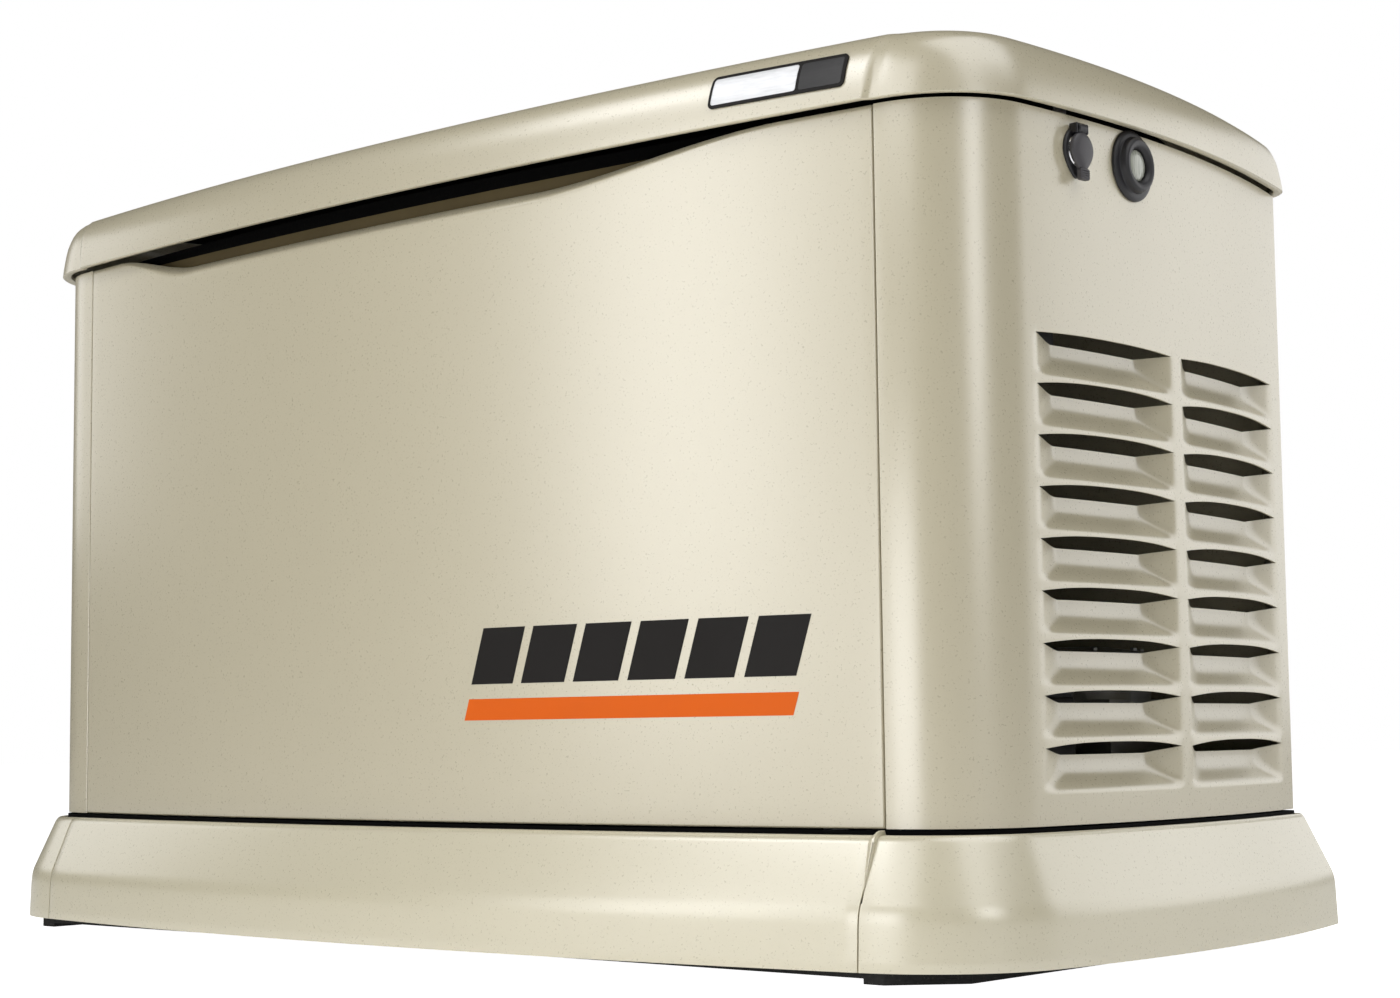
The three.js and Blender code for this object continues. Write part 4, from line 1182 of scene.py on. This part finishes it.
def cylinder_parts():
    """Casting, valve cover and cover bolts, in the cylinder's own frame"""
    profile = [(0, BARREL_START), (BARREL_RADIUS, BARREL_START)]
    for i in range(FIN_COUNT):
        low = FIRST_FIN + i * FIN_PITCH
        profile += [(BARREL_RADIUS, low + 1), (FIN_RADIUS, low + 1.2), (FIN_RADIUS + 0.8, low + 2.2),
                    (FIN_RADIUS, low + 3.2), (BARREL_RADIUS, low + 3.6)]
    profile += [(BARREL_RADIUS, BARREL_END), (0, BARREL_END)]
    casting = joined(
        lathe(profile, 72),
        block(66, 58, (186.2, 235.4), 14, 1.2),
        *(block(70, 61, (192 + i * 9, 194.6 + i * 9), 16, 0.5) for i in range(4)),
        rod("x", 17, PORT_FACE, -60, (0, PORT_UP)),
        slab((PORT_FACE, -80), (-24, 24), (196, 230), 6),
        rod("y", 9, -72, -56, PLUG_LINE, segments=6))
    cover = joined(block(58, 50, (236, 262), 16, 1.5), block(50, 42, (261, 268), 12, 2))
    bolts = joined(*(screw_head((u, v, 262), "z", 4.4, 4) for u in (-51, 51) for v in (-43, 43)))
    return casting, cover, bolts


def make_cylinders():
    lead_ends = {"front": ((-196, -120, 372), (-215, -60, 366)), "rear": ((-196, 60, 372), (-215, 30, 366))}
    lead_starts = ((20, -80, 212), (-20, -106, 208), (-70, -100, 190))
    for name, lean in LEANS:
        place = cylinder_frame(lean)
        casting, cover, bolts = (moved(bm, place) for bm in cylinder_parts())
        fixed(f"{name}_cylinder_casting", casting, cast_aluminium, f"{name}_cylinder")
        fixed(f"{name}_valve_cover_pressing", cover, black_steel, f"{name}_valve_cover")
        fixed(f"{name}_valve_cover_bolts", bolts, zinc_plate)
        boot = moved(rod("y", 8, -98, -70, PLUG_LINE), place)
        lead = tube((*(place @ Vector(start) for start in lead_starts), *lead_ends[name]), 3.6)
        fixed(f"{name}_ignition_lead", joined(boot, lead), rubber)


def make_crankcase():
    ribs = [slab((x, x + 5), (-99, -94), (118, 238), 1.5) for x in (-170, -150, -45, -32)]
    casting = joined(cad_copy("engine_crankcase"), *ribs)
    fixed("engine_crankcase_casting", casting, cast_aluminium, "engine_crankcase", bevel=2)
    fixed_screws("crankcase_bolts", [(x, -95, 122) for x in (-176, -140, -100, -60, -28)], "-y", 4.4, 5)
    filler_line = (-36, 0)
    filler = joined(rod("z", 13, 342, 362, filler_line), rod("z", 19, 362, 372, filler_line, 2, 20))
    fixed("oil_filler_cap", filler, black_plastic)
    stick = tube(((-172, -104, 180), (-176, -116, 240), (-178, -128, 296)), 5)
    fixed("dipstick", joined(stick, rod("z", 11, 296, 312, (-178, -128), 3)), amber_key)


def make_starter():
    motor_line, solenoid_line = (-152, 178), (-152, 222)
    motor = joined(rod("x", 32, -176, -70, motor_line, 3), rod("x", 27, -70, -44, motor_line, 4),
                   rod("x", 16, -150, -80, solenoid_line, 2))
    fixed("starter_motor", motor, black_steel)
    studs = [rod("x", 4, -160, -148, (y, 224)) for y in (-146, -158)]
    fixed("starter_studs", joined(*studs), zinc_plate)


# ---------------------------------------------------------------- rotor and stator
def hoop(inner, outer, start, width, ease=0.0):
    """Profile of a band about an axis, its outer edges slanted by ease"""
    end = start + width
    return (inner, start), (outer, start + ease), (outer, end - ease), (inner, end), (inner, start)


def about_crank(axis_profile, segments=64):
    return turned("x", axis_profile, CRANK_LINE, segments)


def make_rotating_parts():
    shaft = about_crank(((0, -325), (18, -325), (SHAFT_RADIUS, -323), (SHAFT_RADIUS, 243), (0, 243)))
    nut = rod("x", 16, -325.6, -318, CRANK_LINE, 1, 6)
    make("crankshaft_turning", joined(shaft, nut), "rotor", zinc_plate, "crankshaft")

    hub = about_crank(((HUB_BORE, -322), (41, -322), (43, -320), (52, -286), (111, -285), (112, -284),
                       (112, -280), (111, -279), (HUB_BORE, -279), (HUB_BORE, -322)), 96)
    crank = at(0, 0, CRANK_Z)
    blades = [moved(slab((-306, -284), (56, 110), (-1.5, 1.5), 1, 0.5),
                    crank @ Matrix.Rotation(FULL_TURN * i / FAN_BLADES + BLADE_LEAN, 4, "X"))
              for i in range(FAN_BLADES)]
    make("flywheel_fan_casting", joined(hub, *blades), "rotor", cast_aluminium, "flywheel_fan")

    core = about_crank(hoop(HUB_BORE, 56, 22, 182))
    windings = [about_crank(((52, x), (78, x), (82, x + 4), (82, x + 18), (78, x + 22), (52, x + 22),
                             (52, x))) for x in (21, 183)]
    poles = [moved(slab((30, 196), (-46, 46), (52, 89.5), 12, 4), crank @ Matrix.Rotation(turn, 4, "X"))
             for turn in (0, math.pi)]
    make("alternator_rotor_windings", joined(core, *windings, *poles), "rotor", rotor_iron,
         "alternator_rotor", bevel=0.5)


def make_stator():
    shell = about_crank(rounded_path((
        (115, -19.5), (135, -3.5), (135, 208), (117, 230), (60, 238), (20.3, 238), (20.3, 228), (92, 228),
        (92, -9.5), (26, -9.5), (26, -19.5), (115, -19.5),
    ), (6, 6, 8, 8, 2, 1, 3, 2, 1, 1, 1), steps=4), 96)
    laminations = [about_crank(hoop(134.6, 135.4, 20 + 5 * i, 3, 0.4), 96) for i in range(34)]
    fixed("alternator_stator_casting", joined(shell, *laminations), cast_aluminium, "alternator_stator")
    bolts = ring_of(4, 124, lambda a, u, v: rod("x", 4.5, 12, 206, (u, CRANK_Z + v)))
    fixed("stator_through_bolts", joined(*bolts), zinc_plate)
    # dark patches that paint the shade inside the vent openings at the stator's end
    vents = ring_of(12, 96, lambda a, u, v: moved(
        block(7, 2.6, (0, 1.2), 2.5, 0.3),
        at(230.5, u, CRANK_Z + v) @ Matrix.Rotation(a, 4, "X") @ TURNS["x"]))
    fixed("stator_vent_shade_patches", joined(*vents), rubber)


# ---------------------------------------------------------------- exhaust and air
MUFFLER_X, MUFFLER_Z, MUFFLER_RADIUS = -455, 300, 84
MUFFLER_END = 172
MUFFLER_LINE = (MUFFLER_X, MUFFLER_Z)
COLLECTOR_Z = 446
PIPE_RADIUS = 17.5


def make_exhaust():
    body = turned("y", rounded_path((
        (0, -MUFFLER_END), (76, -MUFFLER_END), (MUFFLER_RADIUS, -164), (MUFFLER_RADIUS, 164),
        (76, MUFFLER_END), (0, MUFFLER_END)), (6, 3, 3, 6), steps=4), MUFFLER_LINE, 96)
    seams = [turned("y", hoop(83.6, 86, y, 6, 1.5), MUFFLER_LINE, 96) for y in (-160, 154)]
    outlet = turned("x", ((16, -552), (20, -552), (20, -540), (20, -470), (16, -470), (16, -552)),
                    (-90, MUFFLER_Z))
    collar = turned("z", hoop(18, 30, 378, 12), (MUFFLER_X, 0))
    fixed("muffler_canister", joined(body, *seams, outlet, collar), zinc_sheet, "muffler")
    straps = [turned("y", hoop(84.2, 86.6, y, 18, 0.5), MUFFLER_LINE, 96) for y in (-110, 92)]
    fixed("muffler_straps", joined(*straps), zinc_plate)
    for name, lean in LEANS:
        port = cylinder_frame(lean) @ Vector((PORT_FACE, 0, PORT_UP))
        leaving = [port + Vector(step) for step in ((-0.4, 0, 0), (-22, 0, 2), (-58, 0, 30))]
        arriving = [(x, port.y * share, COLLECTOR_Z + lift) for x, share, lift in (
            (port.x - 110, 1, -1), (-345, 1, 1), (-420, 0.75, 1), (-452, 0.4, 0))]
        fixed(f"exhaust_pipe_{name}", tube((*leaving, *arriving), PIPE_RADIUS, 24), cast_iron,
              "exhaust_manifold" if name == "front" else ())
    riser = tube(((MUFFLER_X + 1, -62, COLLECTOR_Z), (MUFFLER_X, 0, COLLECTOR_Z + 1),
                  (MUFFLER_X + 1, 62, COLLECTOR_Z)), 18, 24)
    drop = turned("z", ((17, 390.4), (24, 390.4), (24, 396), (18, 398), (18, COLLECTOR_Z),
                        (17, COLLECTOR_Z), (17, 390.4)), (MUFFLER_X, 0))
    fixed("exhaust_collector", joined(riser, drop), cast_iron)


def make_blower():
    softened("blower_housing", 5)
    wire = 1.3
    rings = [about_crank(arc((radius, -336.4), wire, 0, FULL_TURN, 8), 80) for radius in range(26, 117, 18)]
    spokes = ring_of(6, 70, lambda a, u, v: moved(
        rod("z", 1.5, -46, 48, (-334.6, 0)),
        at(0, u, CRANK_Z + v) @ Matrix.Rotation(a - math.pi / 2, 4, "X")))
    fixed("fan_guard", joined(*rings, *spokes), zinc_plate)
    fixed_screws("shroud_screws", [(x, y, 361) for x in (-322, -202) for y in (-110, 110)], "z", 4.4, 4)


def make_air_cleaner():
    softened("air_cleaner_base", 3)
    cover = slab((-156, 116), (-156, 76), (540.3, 572), 28, 4)
    ribs = [slab((-130 + 30 * i, -124 + 30 * i), (-128, 48), (571, 577.6), 3, 1.5) for i in range(8)]
    fixed("air_cleaner_cover_moulding", joined(cover, *ribs), black_plastic, "air_cleaner_cover")
    clips = []
    for x in (-120, 60):
        clips.append(slab((x, x + 18), (-160, -155.6), (522, 556), 2))
        clips.append(slab((x + 4, x + 14), (-162, -158), (548, 562), 2))
    fixed("air_cleaner_clips", joined(*clips), zinc_plate)
    duct = tube(((-60, -20, 483), (-60, -10, 450), (-80, 0, 420), (-100, 0, 392)), 30, 28)
    cuff = rod("z", 34, 462, 474, (-60, -18), 2)
    fixed("intake_duct", joined(duct, cuff), rubber)


def make_oil_filter():
    x, z = -60, 160
    can = turned("y", rounded_path((
        (0, -196), (30, -196), (37, -188), (37, -118), (33, -112.4), (0, -112.4)),
        (3, 3, 2, 2), steps=4), (x, z))
    flutes = ring_of(15, 36.2, lambda a, u, v: rod("y", 2, -190, -164, (x + u, z + v)))
    fixed("oil_filter_can", joined(can, *flutes), black_steel, "oil_filter")


# ---------------------------------------------------------------- fuel and battery
FUEL_X, FUEL_Z = 395, 150  # the inlet's line, which the regulator sits on
REGULATOR_Y = 182


def make_fuel_system():
    x, y, z = FUEL_X, REGULATOR_Y, FUEL_Z
    softened("fuel_regulator", 3)
    softened("fuel_inlet", 0.6)
    cap = turned("z", rounded_path((
        (0, z + 88), (60, z + 88), (64, z + 91), (64, z + 96), (44, z + 99), (20, z + 102), (0, z + 102)),
        (1, 1, 1, 2, 3), steps=4), (x, y), 80)
    fixed("regulator_diaphragm_cap", cap, zinc_sheet)
    screws = ring_of(8, 55, lambda a, u, v: screw_head((x + u, y + v, z + 96.4), "z", 3.4, 3.4))
    fixed("regulator_screws", joined(*screws), zinc_plate)
    hose = tube(((x - 118, y, z), (x - 150, y + 2, z + 10), (x - 176, y + 8, 260), (x - 190, 150, 400),
                 (160, 60, 470), (112, 20, 505)), 17, 24)
    fixed("fuel_hose", hose, rubber)
    clamps = joined(rod("x", 19.5, x - 132, x - 122, (y + 0.4, z + 1), 1),
                    rod("x", 19.5, 114, 124, (24, 502), 1))
    fixed("hose_clamps", clamps, zinc_plate)
    grommet = turned("y", ((12.4, 276.8), (30, 276.8), (30, 278.6), (26, 280), (24.6, 280), (24.6, 277.4),
                           (12.4, 277.4), (12.4, 276.8)), (x, z))
    fixed("fuel_inlet_grommet", grommet, rubber)


def make_battery():
    left, right, front, rear, top = 318, 526, -205, -32, 236
    post_y = front + 42
    post_xs = {"negative": left + 35, "positive": right - 35}

    def tier(outset, low, high, ease, corner=7):
        """A slice of the case between two heights"""
        return slab((left - outset, right + outset), (front - outset, rear + outset), (low, high), corner,
                    ease)

    ribs = [tier(0.1, 70 + 26 * i, 73 + 26 * i, 1) for i in range(5)]
    caps = [rod("z", 11, top - 1, top + 3.2, (left + 40 + 32 * i, -80), 1, 24) for i in range(5)]
    case = joined(tier(0, 44.6, 205, 1.5), tier(0, 206.5, top, 2.5), tier(-1.5, 204, 208, 0.3, 6),
                  *caps, *ribs)
    fixed("battery_case", case, black_plastic, "battery")
    posts = [rod("z", 9, top - 2, top + 14, (x, post_y), 1) for x in post_xs.values()]
    fixed("battery_posts", joined(*posts), zinc_plate)
    for name, finish, end in (("positive", red_key, (262, -150, 300)),
                              ("negative", rubber, (236, -166, 110))):
        x = post_xs[name]
        boot = slab((x - 16, x + 16), (post_y - 15, post_y + 15), (top + 1, top + 18), 6, 3)
        lead = tube(((x - 10, post_y, top + 12), (x - 34, front + 30, top + 22),
                     ((x + end[0]) / 2 - 30, front + 4, (top + end[2]) / 2 + 34), end,
                     (end[0] - 46, end[1] + 6, end[2] - 40)), 6)
        fixed(f"battery_{name}_lead", joined(boot, lead), finish)
    softened("battery_clamp", 0.8)


# ---------------------------------------------------------------- controls
PANEL_FOOT, PANEL_HEAD = Vector((392, -198, 528)), Vector((392, -104, 594))  # the sloped face's two edges
INDICATOR_XS = (40, 74, 108)


def control_frame():
    """Frame of the sloped control face: local X along the face, local Y up it, local Z out of it"""
    slope = PANEL_HEAD - PANEL_FOOT
    return Matrix.Translation((PANEL_FOOT + PANEL_HEAD) / 2) @ Matrix.Rotation(
        math.atan2(slope.z, slope.y), 4, "X")


def make_control_face():
    place = control_frame()
    left, right, half = -108, -2, 40
    bars = (((left, right), (36.5, half)), ((left, right), (-half, -36.5)),
            ((left, left + 3.8), (-half, half)), ((right - 3.8, right), (-half, half)))
    surround = joined(*(slab(x, y, (0.2, 2), 1.5, 0.5) for x, y in bars))
    fixed("display_surround", moved(surround, place), grey_plastic)
    keys = [moved(stack(rounded_rectangle(6.5, 4.5, 2), ((0, 0.2), (0, 1.1), (0.7, 1.7))),
                  at(-92 + 24 * i, -48, 0)) for i in range(4)]
    fixed("navigation_keys", moved(joined(*keys), place), grey_plastic)
    for name, x, finish in zip(("auto", "manual", "fault"), INDICATOR_XS, (green_key, amber_key, red_key)):
        lamp = moved(lathe(((0, 0), (3, 0), (3, 1), (2.2, 2), (0, 2.4)), 24), at(x, 30, 0))
        fixed(f"{name}_indicator", moved(lamp, place), finish)
    label = moved(stack(rounded_rectangle(52, 7, 2), ((0, 0.1), (0.1, 0.5))), at(74, -36, 0))
    fixed("control_label_plate", moved(label, place), silver_film)


def make_controls():
    softened("control_panel_housing", 1.6)
    make_control_face()
    fixed_screws("housing_screws", [(x, -198.2, 490) for x in (280, 462)], "-y", 3.6, 2.6)
    fuse_line = (300, 508)
    fuse = joined(rod("y", 9, -204, -197, fuse_line, 1, 24), rod("y", 6, -210, -203, fuse_line, 1, 12))
    fixed("fuse_holder", fuse, black_plastic)
    loom = tube(((282, -120, 453), (276, -126, 400), (262, -128, 320), (250, -128, 200), (238, -132, 90)),
                12, 20)
    ties = [rod("z", 13, z, z + 5, (x, -127), 0.8) for x, z in ((264.5, 330), (254, 240))]
    fixed("wiring_loom", joined(loom, *ties), rubber)
    softened("main_breaker", 0.8)
    bars = (((472, 477.6), (455, 515)), ((522.4, 528), (455, 515)),
            ((477, 523), (455, 461.6)), ((477, 523), (508.4, 515)))
    escutcheon = joined(*(slab(x, (-199.8, -198.1), z, 1.2, 0.3) for x, z in bars))
    fixed("breaker_escutcheon", escutcheon, grey_plastic)


# ---------------------------------------------------------------- seals, liners and painted shade strips
RAIL_FOOT = 602
SEAL_TOP, SEAL_BACK, SEAL_FRONT = 652, -214.5, 25
# the painted shade strip behind the hand scoop: its front and back behind the front face, and its top below
# the eave
SCOOP_SHADE_FRONT, SCOOP_SHADE_BACK, SCOOP_SHADE_BELOW_EAVE = 23.4, 24.8, 5
LINER_RINGS = (0, 0.08, 0.15, 0.22, 0.3, 0.37, 0.45, 0.52, 0.6, 0.66, 0.72, 0.78, 0.82, 0.86, 0.9)
QUILT, QUILT_DEPTH = 90, 3


def rail_strip(name, left, right, section, finish, bevel):
    """A bar along the top rail; its section's corners are pairs of functions of x that give y and z"""
    rows = [[(x, y_at(x), z_at(x)) for x in spaced(left, right, 20)] for y_at, z_at in section]
    bm = skin(rows + rows[:1])
    bmesh.ops.holes_fill(bm, edges=bm.edges, sides=0)
    fixed(name, bm, finish, bevel=bevel)


def behind_face(inward):
    return lambda x: front_face(BODY, x) + inward


def level_at(value):
    return lambda x: value


def make_front_seal_and_shadow():
    """Foam strip on the top rail that the front panel and the lid close against; its near-black also paints
    the shadow in the gap under the lid
    """
    front, back = behind_face(SEAL_FRONT), level_at(SEAL_BACK)
    foot, top = level_at(RAIL_FOOT), level_at(SEAL_TOP)
    rail_strip("front_seal_foam_and_painted_shadow", -472, 482, ((back, foot), (front, foot), (front, top), (back, top)),
               foam, 2)


def make_scoop_shade_strip():
    """Dull olive-bronze strip on the top rail, seen through the hand scoop: painted shade standing in for the
    scoop's turned-in face in the shadow of the lid
    """
    front, back = behind_face(SCOOP_SHADE_FRONT), behind_face(SCOOP_SHADE_BACK)
    foot = level_at(RAIL_FOOT)

    def top(x):
        return eave_height(x) - SCOOP_SHADE_BELOW_EAVE

    rail_strip("scoop_painted_shade_strip", -465, 475, ((front, foot), (front, top), (back, top), (back, foot)),
               scoop_painted_shade, 0.4)


def make_bottom_shadow_strip():
    """Dark strip round the base: painted shadow that fills the gap between the panels and the fascia"""
    inner, outer, low, high = -8, 0.8, 99, 107.6
    rows = [[(x, y, z) for x, y in whole_outline(grown(BODY, inset), 10)]
            for inset, z in ((inner, low), (outer, low), (outer, high), (inner, high), (inner, low))]
    fixed("bottom_painted_shadow_strip", skin(rows, loop=True), foam)


def make_lid_liner():
    """Sound foam under the roof, in quilted squares"""
    edge = whole_outline(grown(EAVE, -36), 12)
    rows = []
    for scale in LINER_RINGS:
        row = []
        for x, y in ((x * scale, y * scale) for x, y in edge):
            quilt = QUILT_DEPTH * abs(math.sin(x * math.pi / QUILT) * math.sin(y * math.pi / QUILT))
            row.append((x, y, band_top(x, y) + crown_lift(scale) - 7 - quilt))
        rows.append(row)
    make("lid_liner_foam", skin(rows, loop=True), "lid", foam, thickness=2.5)


# ---------------------------------------------------------------- back panel and base
BACK_HALF = 540
BEAD_BORDER, BEAD_LOW, BEAD_HIGH, BEAD_DEPTH = 40, 165, 590, 3
STIFFENER_XS, STIFFENER_HEIGHT = (-180, 180), 2.4


def back_bead(x, z):
    """How far the back panel stands out at x, z: a pressed-in field and two upright stiffeners"""
    from_border = min(BACK_HALF - BEAD_BORDER - abs(x), z - BEAD_LOW, BEAD_HIGH - z)
    ends = clamp((z - 190) / 20) * clamp((565 - z) / 20)
    upright = max((1 - smooth((abs(x - centre) - 10) / 8)) * ends for centre in STIFFENER_XS)
    return STIFFENER_HEIGHT * upright - BEAD_DEPTH * smooth(clamp(from_border / 8))


def make_back_panel():
    back = BODY.back
    fold = (20, 10, 3)
    xs = spaced(BACK_HALF, -BACK_HALF, 10)
    rows = []
    for z in through([PANEL_BOTTOM, 140, 600, panel_top(0)], 10):
        rows.append([(BACK_HALF, back - inward, z) for inward in fold]
                    + [(x, back + back_bead(x, z), z) for x in xs]
                    + [(-BACK_HALF, back - inward, z) for inward in fold[::-1]])
    fixed("back_panel_pressing", skin(rows), paint, "back_panel", thickness=1.6, angle=30)
    fixed_screws("back_panel_screws", [(x, back, z) for x in (-522, -180, 180, 522) for z in (122, 630)],
                 "y", 3.8, 2.4)
    knockouts = [turned("y", ((0, back - 3.2), (21, back - 3.2), (22, back - 2.2), (17, back - 1.6),
                              (0, back - 1.6)), (x, 205)) for x in (240, 300)]
    fixed("conduit_knockouts", joined(*knockouts), zinc_sheet)
    plates = [moved(stack(rounded_rectangle(52, 32, 4), ((0, 0), (0.2, 0.8))),
                    at(x, back - BEAD_DEPTH, 520) @ TURNS["y"]) for x in (-380, 0)]
    fixed("rating_plates", joined(*plates), silver_film)


def make_bottom_details():
    fixed_screws("anchor_bolts", [(x, y, 44.6) for x in (-520, 540) for y in (-120, 120)], "z", 6, 5)
    rear = FASCIA_TOP.back + 12.5
    fixed_screws("fascia_screws", [(x * 0.92, rear, 76) for x in (-560, -300, 0, 300, 560)], "y", 3.6, 2.4)


# ---------------------------------------------------------------- the whole machine
for build in (make_fascia, make_end_panels, make_front_panel, make_lid, make_graphic, make_badge,
              make_locks, make_lamp, make_cylinders, make_crankcase, make_rotating_parts, make_stator,
              make_exhaust, make_blower, make_air_cleaner, make_oil_filter, make_starter,
              make_fuel_system, make_battery, make_controls, make_front_seal_and_shadow, make_scoop_shade_strip,
              make_bottom_shadow_strip, make_lid_liner, make_back_panel, make_bottom_details):
    build()

done = {node for piece in bpy.data.objects for node in piece.get("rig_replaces", [])}
for node in sorted(set(frame["nodes"]) - done):
    softened(node)
